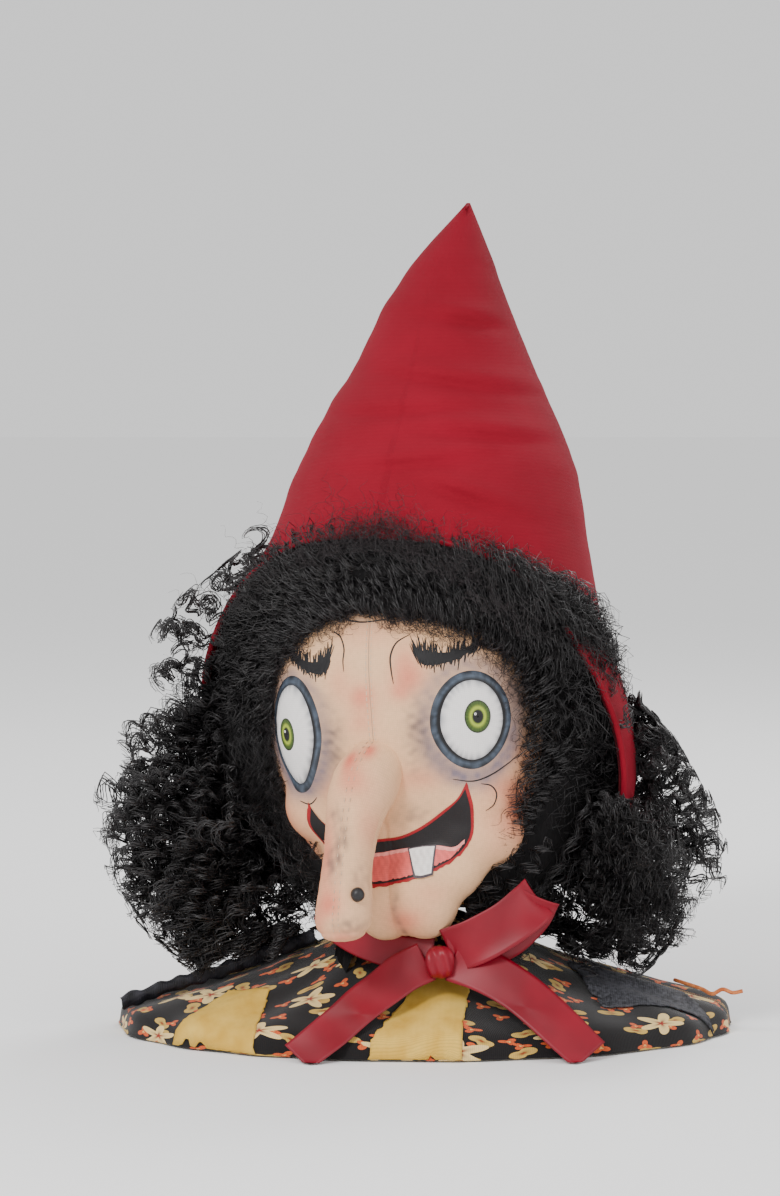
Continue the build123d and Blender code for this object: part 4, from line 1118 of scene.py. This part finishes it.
def wig_lines(rng, count, steps, start_spread, sweep, ring_low, ring_high, out_low, out_high):
    """Centre lines that run from the parting down both sides of the face."""
    side = rng.choice([-1, 1], count)[:, None]
    start = np.abs(rng.normal(0, start_spread, (count, 1))).clip(0, 2.35) - 0.12
    t = np.linspace(0, 1, steps)[None, :]
    around = side * np.clip(start + rng.uniform(*sweep, (count, 1)) * t, -0.2, 2.72)
    around = around + rng.normal(0, 0.02, (count, 1))
    ring = rng.uniform(ring_low, ring_high, (count, 1)) + rng.normal(0.04, 0.2, (count, 1)) * t
    ring = np.clip(ring, 0.95, 1.85)
    ring = ring_fit(around, ring)
    layer = rng.random((count, 1))
    out = out_low + smooth_step(0.92, 1.35, ring) * (out_high - out_low) * (0.45 + 0.55 * layer)
    out = out + arch_fill(around, ring)
    return to_world(wig_point(around, ring, out).reshape(-1, 3)).reshape(count, steps, 3)


def build_wig():
    rng = np.random.default_rng(77)
    columns, rows = 150, 26
    a, r = np.meshgrid(np.linspace(-2.62, 2.62, columns), np.linspace(1.08, 1.86, rows))
    a, r = a.ravel(), r.ravel()
    flat = ring_fit(a, r)
    profile = np.sin(np.clip((r - 1.08) / 0.7, 0, 1) * pi * 0.62) ** 0.6
    out = -2 + profile * (14 + 5 * np.clip(np.cos(a / 1.3), 0, 1)) + arch_fill(a, flat)
    core = to_world(wig_point(a, flat, out))
    core += 1.5 * np.stack([ripple(core, 9, k) for k in (61, 62, 63)], -1)
    core[:, 2] = np.maximum(core[:, 2], hair_floor(core) + 3)
    piece = mesh_piece("wig_core", core, grid_faces(rows, columns), "head", hair_core)
    thicken(piece, 2.0)
    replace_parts(piece, "hair_wig")
    # curly locks, thickest at the outside, then looser ones nearer the face
    lines = wig_lines(rng, 330, 24, 0.8, (0.35, 0.95), 1.02, 1.85, 3, 22)
    outer = locks(rng, lines, 11, rng.uniform(2.2, 5.6, 330), rng.uniform(9, 20, 330), 1.7)
    strand_piece("wig_locks", outer, 0.27, hair_black)
    lines = wig_lines(rng, 120, 22, 0.9, (0.2, 0.6), 0.97, 1.12, 2, 16)
    inner = locks(rng, lines, 8, rng.uniform(1.5, 4.0, 120), rng.uniform(8, 17, 120), 1.6)
    strand_piece("hairline_locks", inner, 0.2, hair_black)
    # single stray hairs over the forehead and cheeks
    count = 620
    side = rng.choice([-1, 1], count, p=[0.4, 0.6])[:, None]
    start = np.abs(rng.normal(0, 0.9, (count, 1))).clip(0, 2.2)
    t = np.linspace(0, 1, 18)[None, :]
    around = side * (start + rng.uniform(-0.15, 0.5, (count, 1)) * t)
    dip = rng.uniform(0.0, 0.2, (count, 1)) * np.sin(t * pi * rng.uniform(0.5, 1.0, (count, 1)))
    lines = to_world(wig_point(around, 1.03 - dip, 1.4 + 9 * rng.random((count, 1)) * (1 - t)).reshape(-1, 3))
    lines = lines.reshape(count, 18, 3)
    strays = locks(rng, lines, 1, rng.uniform(0.8, 3.6, count), rng.uniform(7, 18, count), 0.3, 0.4)
    strand_piece("hairline_strays", strays, 0.13, hair_fine)


build_wig()

# outer edge of each mass seen from the front: height, distance out from the middle
HAIR_OUTLINES = {
    "hair_left": (-1, [(36, 130), (54, 158), (76, 178), (104, 190), (132, 197), (160, 188), (196, 180),
                       (232, 165), (262, 140), (286, 106)]),
    "hair_right": (1, [(30, 112), (44, 134), (60, 156), (82, 170), (106, 178), (130, 172), (156, 158),
                       (178, 142), (196, 124)]),
}


def build_mass(node, seed, count):
    """A see-through mass of locks beside the hood."""
    side, outline = HAIR_OUTLINES[node]
    outline = np.array(outline, float)
    rng = np.random.default_rng(seed)
    heights = rng.uniform(outline[0, 0] + 10, outline[-1, 0] - 6, count)
    if side < 0:
        heights = np.where(rng.random(count) < 0.62, rng.uniform(outline[0, 0] + 10, 165, count), heights)
    edge = through(outline, 1, heights)
    inner = np.interp(heights, [40, 80, 160, 240, 300], [66, 96, 112, 98, 80])
    share = rng.random(count) ** 0.9
    out = inner + (edge - inner) * share * 0.8
    depth = rng.normal(8, 20, count)
    roots = np.stack([side * out, depth, heights], -1)
    middle = np.array([side * 62.0, 26.0, np.mean(outline[[0, -1], 0]) + 24])
    ways = (roots - middle) / 60 + rng.normal(0, 0.5, (count, 3))
    length = rng.uniform(18, 46, count) * (1.15 - 0.5 * share)
    paths = locks(rng, straight_lines(roots, ways, length, 22, 0.35), 8, rng.uniform(2.2, 5.6, count),
                  rng.uniform(9, 19, count), 1.3, 0.6)
    limit = through(outline, 1, np.clip(paths[..., 2], outline[0, 0], outline[-1, 0])) + 3
    over = np.abs(paths[..., 0]) > limit
    paths[..., 0] = np.where(over, side * (limit + 0.2 * (np.abs(paths[..., 0]) - limit)), paths[..., 0])
    paths[..., 2] = np.maximum(paths[..., 2], outline[0, 0] - 4)
    return strand_piece(node + "_locks", paths, 0.36, hair_black)


for node, seed, count in (("hair_left", 91, 330), ("hair_right", 92, 235)):
    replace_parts(build_mass(node, seed, count), node)


def build_back_hair():
    rng = np.random.default_rng(93)
    count = 210
    bearing = rng.uniform(radians(-100), radians(100), count)
    radius = rng.uniform(70, 118, count)
    sideways, back = np.sin(bearing), np.cos(bearing)
    roots = np.stack([radius * sideways, 8 + radius * back, rng.uniform(74, 106, count)], -1)
    ways = np.stack([sideways * 0.6, back * 0.6, rng.uniform(-1.6, -0.2, count)], -1)
    lines = straight_lines(roots, ways + rng.normal(0, 0.3, (count, 3)), rng.uniform(16, 36, count), 20, 0.1)
    paths = locks(rng, lines, 8, rng.uniform(2, 5, count), rng.uniform(9, 18, count), 1.6)
    paths[..., 2] = np.maximum(paths[..., 2], 60)
    return strand_piece("hair_back_locks", paths, 0.36, hair_black)


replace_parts(build_back_hair(), "hair_back")


def build_spill():
    """Locks that come out of the face opening and fall outward over its edges."""
    rng = np.random.default_rng(95)
    bundles = []
    for side, count, low, high in ((1, 104, 84, 150), (-1, 130, 84, 214)):
        heights = rng.uniform(low, high, count)
        angles = np.array([edge_angle(height) for height in heights]) * side
        roots = np.array([hood_ring(height, angle, 0.0) for height, angle in zip(heights, angles)])
        roots += np.stack([-side * rng.uniform(2, 22, count), -rng.uniform(4, 16, count),
                           np.zeros(count)], -1)
        ways = np.stack([side * rng.uniform(0.5, 1.2, count), rng.uniform(-0.5, 0.15, count),
                         rng.uniform(-1.0, -0.1, count)], -1)
        lines = straight_lines(roots, ways, rng.uniform(26, 58, count), 22, 0.3)
        bundles.append(locks(rng, lines, 9, rng.uniform(2.2, 5.2, count), rng.uniform(9, 19, count), 1.5,
                             0.6))
    paths = np.concatenate(bundles)
    paths[..., 2] = np.maximum(paths[..., 2], 52)
    strand_piece("rim_locks", paths, 0.3, hair_black)


build_spill()


def build_frizz():
    """Fine hair that strays over the front of the hood above the face."""
    rng = np.random.default_rng(94)
    count = 620
    angle = np.clip(rng.normal(0.0, 0.5, count), -1.25, 1.0)
    height = np.maximum(ARCH_TOP - 6 - 62 * angle**2, 150) + rng.uniform(-8, 8, count)
    roots = np.array([hood_ring(h, np.array(a), 2.0) for h, a in zip(height, angle)])
    ways = np.stack([rng.normal(0, 0.7, count), np.full(count, -0.2), rng.uniform(0.0, 1.0, count)], -1)
    lines = straight_lines(roots, ways, rng.gamma(2.0, 8.0, count).clip(5, 42), 26, 0.0)
    paths = locks(rng, lines, 1, rng.uniform(1.2, 5.0, count), rng.uniform(7, 20, count), 0.3, 0.5)
    cx, cy, rx, ry = hood_section(paths[..., 2])
    flat = np.stack([paths[..., 0] - cx, paths[..., 1] - cy, 0 * cx], -1) @ YAW_ONLY
    size = np.sqrt((flat[..., 0] / (rx + 4.5)) ** 2 + (flat[..., 1] / (ry + 4.5)) ** 2)
    flat = (flat * np.maximum(1 / np.maximum(size, 0.2), 1.0)[..., None]) @ YAW_ONLY.T
    paths[..., 0], paths[..., 1] = flat[..., 0] + cx, flat[..., 1] + cy
    strand_piece("hood_frizz", paths, 0.12, hair_fine)


build_frizz()

# ---------------------------------------------------------------- shoulders and dress
SHOULDER_STEPS, SHOULDER_COLUMNS = 80, 260
FILL_ROWS, FILL_COLUMNS = 40, 120


def shoulder_point(t, angle, grow):
    """A point on the shoulders: t from the neck (0) to the hem (1)."""
    places = SHOULDER_SECTIONS[::-1]
    knots = np.linspace(0, 1, len(places))
    table = np.column_stack([knots, places])
    z, rx, ry = (through(table, i, t) for i in (1, 2, 3))
    return np.stack([(rx + 0.4 * grow) * np.cos(angle), (ry + 0.4 * grow) * np.sin(angle),
                     np.maximum(z + grow * smooth_step(1.0, 0.93, t), 1.2)], -1)


def pleat_wave(angle):
    """The rise and fall of the pleats round the shoulders, -1 to 1."""
    return np.sin(angle * 17 + 1.5 * np.sin(angle * 3))


def shoulder_grid(rows, columns):
    """t and angle of rows x columns points on the shoulders."""
    around = np.linspace(0, 2 * pi, columns, endpoint=False)
    t, angle = np.meshgrid(np.linspace(0, 1, rows), around, indexing="ij")
    return t.ravel(), angle.ravel()


def dress_folds(points):
    low = np.linalg.norm(points[:, :2] / np.array([184, 120]), axis=1)
    angle = np.arctan2(points[:, 1] / 120, points[:, 0] / 184)
    return pleat_wave(angle) * 1.3 * smooth_step(0.25, 0.9, low) + 0.8 * ripple(points, 30, 71)


def dress_mesh(name, grow, material, floor):
    t, angle = shoulder_grid(SHOULDER_STEPS, SHOULDER_COLUMNS)
    verts = shoulder_point(t, angle, grow)
    verts[:, 2] = np.maximum(verts[:, 2] + dress_folds(verts) * smooth_step(1.0, 0.9, t), floor)
    verts[:, :2] *= (1 + 0.008 * pleat_wave(angle) * t)[:, None]
    cloth = np.stack([angle * 120 * MM, t * 170 * MM], -1)
    faces = grid_faces(SHOULDER_STEPS, SHOULDER_COLUMNS, True)
    return mesh_piece(name, verts, faces, "base", material, None, cloth)


def floral_material(name):
    """Black cotton printed with small cream flowers, orange hearts and leaves."""
    material, nodes, links, shader = new_material(name, 0.85, 0.25, 0.2)
    place = nodes.new("ShaderNodeAttribute")
    place.attribute_name = "cloth"
    colour = rgb(18, 14, 15)
    # each layer: cells in a metre, shift, petals, petal colour, heart colour, reach in metres
    layers = [(40.0, 3.7, 2.0, rgb(206, 168, 84), rgb(150, 60, 30), 0.0068),
              (52.0, 8.1, 3.0, rgb(214, 92, 44), rgb(236, 186, 110), 0.0046),
              (21.0, 0.0, 5.0, rgb(238, 206, 140), rgb(150, 30, 24), 0.0128)]
    for scale, shift, petals, cream, heart, reach in layers:
        mapping = nodes.new("ShaderNodeMapping")
        mapping.inputs["Location"].default_value = (shift, shift * 0.7, 0)
        links.new(place.outputs["Vector"], mapping.inputs["Vector"])
        cells = nodes.new("ShaderNodeTexVoronoi")
        cells.voronoi_dimensions = "2D"
        cells.inputs["Scale"].default_value = scale
        cells.inputs["Randomness"].default_value = 0.75
        links.new(mapping.outputs["Vector"], cells.inputs["Vector"])
        away = nodes.new("ShaderNodeVectorMath")
        away.operation = "SUBTRACT"
        links.new(mapping.outputs["Vector"], away.inputs[0])
        links.new(cells.outputs["Position"], away.inputs[1])
        split = nodes.new("ShaderNodeSeparateXYZ")
        links.new(away.outputs["Vector"], split.inputs[0])
        angle = add_maths(nodes, links, "ARCTAN2", split.outputs[0], split.outputs[1])
        spun = add_maths(nodes, links, "ADD", add_maths(nodes, links, "MULTIPLY", angle, petals),
                         add_maths(nodes, links, "MULTIPLY", cells.outputs["Color"], 6.0))
        wave = add_maths(nodes, links, "COSINE", spun, 0.0)
        lobe = add_maths(nodes, links, "ADD", add_maths(nodes, links, "MULTIPLY", wave, 0.32), 0.68)
        distance = nodes.new("ShaderNodeVectorMath")
        distance.operation = "LENGTH"
        links.new(away.outputs["Vector"], distance.inputs[0])
        share = add_maths(nodes, links, "DIVIDE", distance.outputs["Value"],
                          add_maths(nodes, links, "MULTIPLY", lobe, reach))
        petal = add_maths(nodes, links, "LESS_THAN", share, 1.0)
        throat = tuple(c * 0.75 for c in cream)
        shade = add_ramp(nodes, links, share, [(0.12, heart), (0.34, throat), (0.6, cream)])
        colour = add_mix(nodes, links, petal, colour, shade)
    weave = add_weave(nodes, links, 0.8)
    # darker where the weave dips: painted shade between the threads
    threads = add_ramp(nodes, links, weave, [(0.0, (0.7, 0.7, 0.7)), (0.5, (1, 1, 1))])
    links.new(add_mix(nodes, links, 0.7, colour, threads, "MULTIPLY"), shader.inputs["Base Color"])
    add_bump(nodes, links, shader, weave, 0.5, 0.25)
    return material


floral = floral_material("floral_print")
dress = dress_mesh("capelet_cloth", 2.2, floral, 1.4)
dress_tree = BVHTree.FromPolygons([Vector(p) for p in mesh_points(dress) / MM],
                                  [tuple(f.vertices) for f in dress.data.polygons])
turn_outward(dress, np.array([0, 0, 1.0]))
thicken(dress, 0.9)
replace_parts(dress, "capelet")


def build_fill():
    """The stuffed shoulders under the dress, closed below by a calico underside."""
    outer = shoulder_point(*shoulder_grid(FILL_ROWS, FILL_COLUMNS), -1.5)
    outer[:, :2] *= 0.985
    ring = np.linspace(0, 2 * pi, FILL_COLUMNS, endpoint=False)
    _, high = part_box("base_cover")
    rx, ry = high[0] / MM + 1.5, high[1] / MM + 1.5
    inner = np.stack([rx * np.cos(ring), ry * np.sin(ring), np.full(FILL_COLUMNS, 1.6)], -1)
    verts = np.concatenate([outer, inner])
    faces = grid_faces(FILL_ROWS + 1, FILL_COLUMNS, True)
    piece = mesh_piece("shoulder_fill", verts, faces, "base", calico, None, verts[:, :2] * MM)
    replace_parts(piece, "shoulder_pad")


build_fill()


def on_dress(x, y, lift):
    """Points on the dress under (x, y), lift mm above it."""
    found = []
    for px, py, up in zip(np.ravel(x), np.ravel(y), np.broadcast_to(lift, np.size(x))):
        hit, normal, _, _ = dress_tree.ray_cast(Vector((px, py, 200.0)), Vector((0, 0, -1)))
        if hit is None:
            hit, normal, _, _ = dress_tree.find_nearest(Vector((px, py, 2.0)))
        if normal.z < 0:
            normal = -normal
        found.append(np.array(hit) + np.array(normal) * up)
    return np.array(found)


def patch(name, corners, material, lift, ragged, seed=1):
    """A cloth patch on the dress with ragged sides: corners go round from the top left."""
    rng = np.random.default_rng(seed)
    rows = 26
    a, b, c, d = (np.array(p, float) for p in corners)
    s, t = np.meshgrid(np.linspace(0, 1, rows), np.linspace(0, 1, rows))
    s, t = s.ravel()[:, None], t.ravel()[:, None]
    place = (a * (1 - s) + b * s) * (1 - t) + (d * (1 - s) + c * s) * t
    edge = ((s < 0.01) | (s > 0.99) | (t < 0.01) | (t > 0.99))[:, 0]
    place[edge] += rng.normal(0, ragged, (edge.sum(), 2))
    verts = on_dress(place[:, 0], place[:, 1], lift)
    verts[:, 2] = np.maximum(verts[:, 2], 1.2)
    piece = mesh_piece(name, verts, grid_faces(rows, rows), "base", material, None, place * MM)
    area = sheet_area(piece)
    turn_outward(piece, np.array([0, 0, 1.0]))
    thicken(piece, 0.8, 1.0)
    return piece, area


chest_patch, chest_area = patch("chest_patch", [(-4, -70), (26, -66), (20, -122), (-34, -120)], gold_cloth,
                                0.4, ragged=0.5)
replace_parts(chest_patch, "chest_panel")
shoulder_patch, patch_area = patch("shoulder_patch", [(-116, -40), (-92, -56), (-100, -104), (-148, -74)],
                                   gold_cloth, 0.4, ragged=0.5, seed=2)
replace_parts(shoulder_patch, "shoulder_panel")
flap, flap_area = patch("cape_flap_cloth", [(84, -18), (150, -12), (170, -46), (104, -70)], lurex,
                        1.2, ragged=0.6, seed=3)
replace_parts(flap, "cape_flap")

trim_line = catmull([(150, -12, 30), (164, -30, 28), (170, -44, 27), (176, -46, 30), (182, -46, 28),
                     (188, -46, 29)], 10)
verts, faces = tubes(trim_line[None], 1.2, 8)
trim = mesh_piece("flap_trim_cord", verts, faces, "base", trim_orange)
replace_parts(trim, "flap_trim")

# the ruffled braid along the shoulder
braid_line = catmull([(-66, -6, 56), (-92, -8, 47), (-118, -12, 37.5), (-150, -14, 28), (-182, -16, 17)], 24)
verts, faces = tubes(braid_line[None], 4.2, 20)
verts = verts + 1.3 * np.stack([ripple(verts, 6, s) for s in (81, 82, 83)], -1)
braid = mesh_piece("shoulder_braid", verts, faces, "base", braid_black)
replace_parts(braid, "shoulder_trim")

# ---------------------------------------------------------------- ribbon
def ribbon(name, middle, facing, body, width, curl=0.0, node=None):
    """A satin ribbon along a line, its flat side turned towards the given directions."""
    steps = columns = 14
    middle, facing = catmull(middle, steps), catmull(facing, steps)
    tangent = unit(np.gradient(middle, axis=0))
    across = unit(np.cross(tangent, facing))
    normal = np.cross(tangent, across)
    along = distances(middle)
    s = np.linspace(-0.5, 0.5, columns)
    rows = (middle[:, None] + across[:, None] * (s * width)[None, :, None]
            + normal[:, None] * (curl * (1 - (2 * s) ** 2))[None, :, None])
    verts = rows.reshape(-1, 3)
    verts = verts + 0.35 * np.stack([ripple(verts, 16, k) for k in (84, 85, 86)], -1)
    cloth = np.stack([np.tile(s * width, len(middle)), np.repeat(along, columns)], -1) * MM
    piece = mesh_piece(name, verts, grid_faces(len(middle), columns), None, satin, None, cloth)
    thicken(piece, 0.5, 0.0)
    if body:
        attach(piece, body)
    if node:
        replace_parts(piece, node)
    return piece


ribbon("ribbon_under_chin", [(-62, -40, 80), (-56, -56, 73), (-40, -70, 64), (-18, -80, 58), (4, -85, 57)],
       [(-0.8, -1, 0.1), (-0.5, -1, 0.1), (-0.4, -1, 0.1), (-0.1, -1, 0.2), (0, -1, 0.3)], "neck", 20.0,
       node="ribbon_band")
ribbon("bow_loop_front", [(12, -92, 60), (28, -96, 66), (46, -95, 76), (60, -90, 86), (66, -84, 91)],
       [(0, -1, 0), (0.1, -1, 0.1), (0.1, -1, 0.2), (0.2, -1, 0.2), (0.3, -1, 0.2)], "neck", 27.0, curl=2.5,
       node="bow_loop")
ribbon("bow_loop_back", [(12, -90, 58), (30, -84, 60), (48, -80, 68), (60, -80, 80), (66, -84, 91)],
       [(0, -1, 0), (0.1, -1, 0.2), (0.1, -1, 0.3), (0.2, -1, 0.2), (0.3, -1, 0.2)], "neck", 26.0, curl=-2.0)
TAIL_FACING = [(0, -1, 0.2), (0, -1, 0.5), (0, -1, 0.8), (0, -1, 1.0), (0, -1, 1.2)]
left_tail = ribbon("ribbon_tail_left_cloth",
                   [(0, -90, 54), (-14, -94, 47), (-36, -104, 32), (-58, -116, 15), (-74, -123, 3.5)],
                   TAIL_FACING, None, 24.0, node="ribbon_tail_left")
right_tail = ribbon("ribbon_tail_right_cloth",
                    [(16, -92, 56), (32, -95, 50), (54, -102, 38), (74, -112, 22), (94, -120, 4)],
                    TAIL_FACING, None, 27.0, node="ribbon_tail_right")
for tail in (left_tail, right_tail):
    points = mesh_points(tail)
    points[:, 2] = np.maximum(points[:, 2], 0.0012)
    set_points(tail, points)
    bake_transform(tail)

# the knot: an egg squared up and creased into a wrapped band
KNOT_RADII = (7.5, 6.5, 8.5)
KNOT_CENTRE = np.array([8, -94, 54])
knot = egg("bow_knot_cloth", (0, 0, 0), KNOT_RADII, segments=64, rings=40)
knot_points = mesh_points(knot) / MM
for axis in (0, 2):
    share = np.clip(np.abs(knot_points[:, axis]) / KNOT_RADII[axis], 0, 1)
    knot_points[:, axis] = np.sign(knot_points[:, axis]) * (KNOT_RADII[axis] + 1.0) * share ** 0.78
creases = 0.7 * np.sin(knot_points[:, 0] * 1.1 + knot_points[:, 2] * 0.35)
knot_points[:, 1] += creases * (knot_points[:, 1] < 0)
set_points(knot, (knot_points + KNOT_CENTRE) * MM)
add_cloth(knot.data, knot_points * MM)
knot.data.materials.append(satin)
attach(knot, "neck")
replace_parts(knot, "bow_knot")

# ---------------------------------------------------------------- neck wrap
low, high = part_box("neck_wrap")
WRAP_COLUMNS = 90
# the roll of cloth round the neck: share of its height, radius
WRAP_PROFILE = ((0, 17), (0.05, 27), (0.25, 29.5), (0.5, 30), (0.75, 29.5), (0.95, 27), (1, 17))
wrap_angle = np.linspace(0, 2 * pi, WRAP_COLUMNS, endpoint=False)
wrap_rows = []
for share, radius in WRAP_PROFILE:
    bulge = radius + (0.6 * np.sin(wrap_angle * 14) if radius > 20 else 0)
    height = (low.z + (high.z - low.z) * share) / MM
    wrap_rows.append(np.stack([bulge * np.cos(wrap_angle), bulge * np.sin(wrap_angle),
                               np.full(WRAP_COLUMNS, height)], -1))
wrap_points = np.concatenate(wrap_rows)
wrap = mesh_piece("neck_wrap_cloth", wrap_points, grid_faces(len(wrap_rows), WRAP_COLUMNS, True), "neck",
                  black_cloth, None, wrap_points[:, :2] * MM)
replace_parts(wrap, "neck_wrap")

# ---------------------------------------------------------------- materials of the working parts
SLOT_LOOKS = {
    "felt": cloth_material("black_felt", rgb(22, 22, 24), rgb(44, 44, 47), 1.0, 0.95, 0.4, 0.6, 200.0, False),
    "black_plastic": hard_material("black_abs", rgb(34, 34, 36), 0.5),
    "grey_plastic": hard_material("grey_acetal", rgb(150, 152, 156), 0.45),
    "white_nylon": hard_material("natural_nylon", rgb(228, 226, 214), 0.4, spread=0.05),
    "steel": hard_material("plated_steel", rgb(188, 190, 194), 0.32, 1.0, 900.0),
    "motor_steel": hard_material("motor_can", rgb(170, 172, 176), 0.3, 1.0, 1200.0),
    "battery_wrap": hard_material("cell_sleeve", rgb(30, 92, 58), 0.35),
    "board_green": hard_material("solder_mask", rgb(24, 92, 52), 0.35),
    "speaker_black": hard_material("speaker_paper", rgb(30, 30, 31), 0.8),
    "wire_red": hard_material("wire_sleeve", rgb(168, 34, 30), 0.45),
}
slots = {entry["node"]: entry["material_slot"] for entry in frame["record"]["subparts"]}
for node, cad_piece in frame["nodes"].items():
    if slots.get(node) in SLOT_LOOKS:
        cad_piece.data.materials.clear()
        cad_piece.data.materials.append(SLOT_LOOKS[slots[node]])

# ---------------------------------------------------------------- floor, light and camera
FLOOR_SIZE = 12000.0
floor_corners = np.array([(-1, -1, 0), (1, -1, 0), (1, 1, 0), (-1, 1, 0)]) * FLOOR_SIZE
floor = mesh_piece("floor", floor_corners, [[0, 1, 2, 3]],
                   material=plain_material("pale_floor", (0.95, 0.95, 0.95), 0.95, 0.0))

world = bpy.data.worlds.new("soft_room")
world.use_nodes = True
world.node_tree.nodes["Background"].inputs["Color"].default_value = (1, 1, 1, 1)
world.node_tree.nodes["Background"].inputs["Strength"].default_value = 1.0
bpy.context.scene.world = world


def soft_light(name, place, aim, size, watts):
    data = bpy.data.lights.new(name, "AREA")
    data.shape = "DISK"
    data.size = size
    data.energy = watts
    light = bpy.data.objects.new(name, data)
    light.location = place
    light.rotation_euler = (Vector(aim) - Vector(place)).to_track_quat("-Z", "Y").to_euler()
    bpy.context.scene.collection.objects.link(light)


half_way_up = (0, 0, (CAD_BOX[0][2] + CAD_BOX[1][2]) / 2)
soft_light("key", (-1.0, -1.7, 1.5), half_way_up, 0.6, 40)
soft_light("fill", (1.6, -1.5, 0.8), half_way_up, 1.2, 10)
soft_light("rim", (0.6, 1.3, 1.7), half_way_up, 0.8, 18)

FRAME_HEIGHT = 0.7176            # what the camera's long side covers at the neck's axis
CAMERA_DISTANCE = 2.4
CAMERA_RISE = radians(4)
TARGET = Vector((-0.021, 0, 0.2592))
camera_data = bpy.data.cameras.new("camera")
camera_data.sensor_fit = "AUTO"
camera_data.angle = 2 * np.arctan(FRAME_HEIGHT / 2 / CAMERA_DISTANCE)
camera_data.clip_end = 40
camera = bpy.data.objects.new("camera", camera_data)
camera.location = TARGET + Vector((0, -cos(CAMERA_RISE), sin(CAMERA_RISE))) * CAMERA_DISTANCE
camera.rotation_euler = (radians(90) - CAMERA_RISE, 0, 0)
bpy.context.scene.collection.objects.link(camera)
bpy.context.scene.camera = camera

# ---------------------------------------------------------------- bringing the scene up to date
bpy.context.view_layer.update()
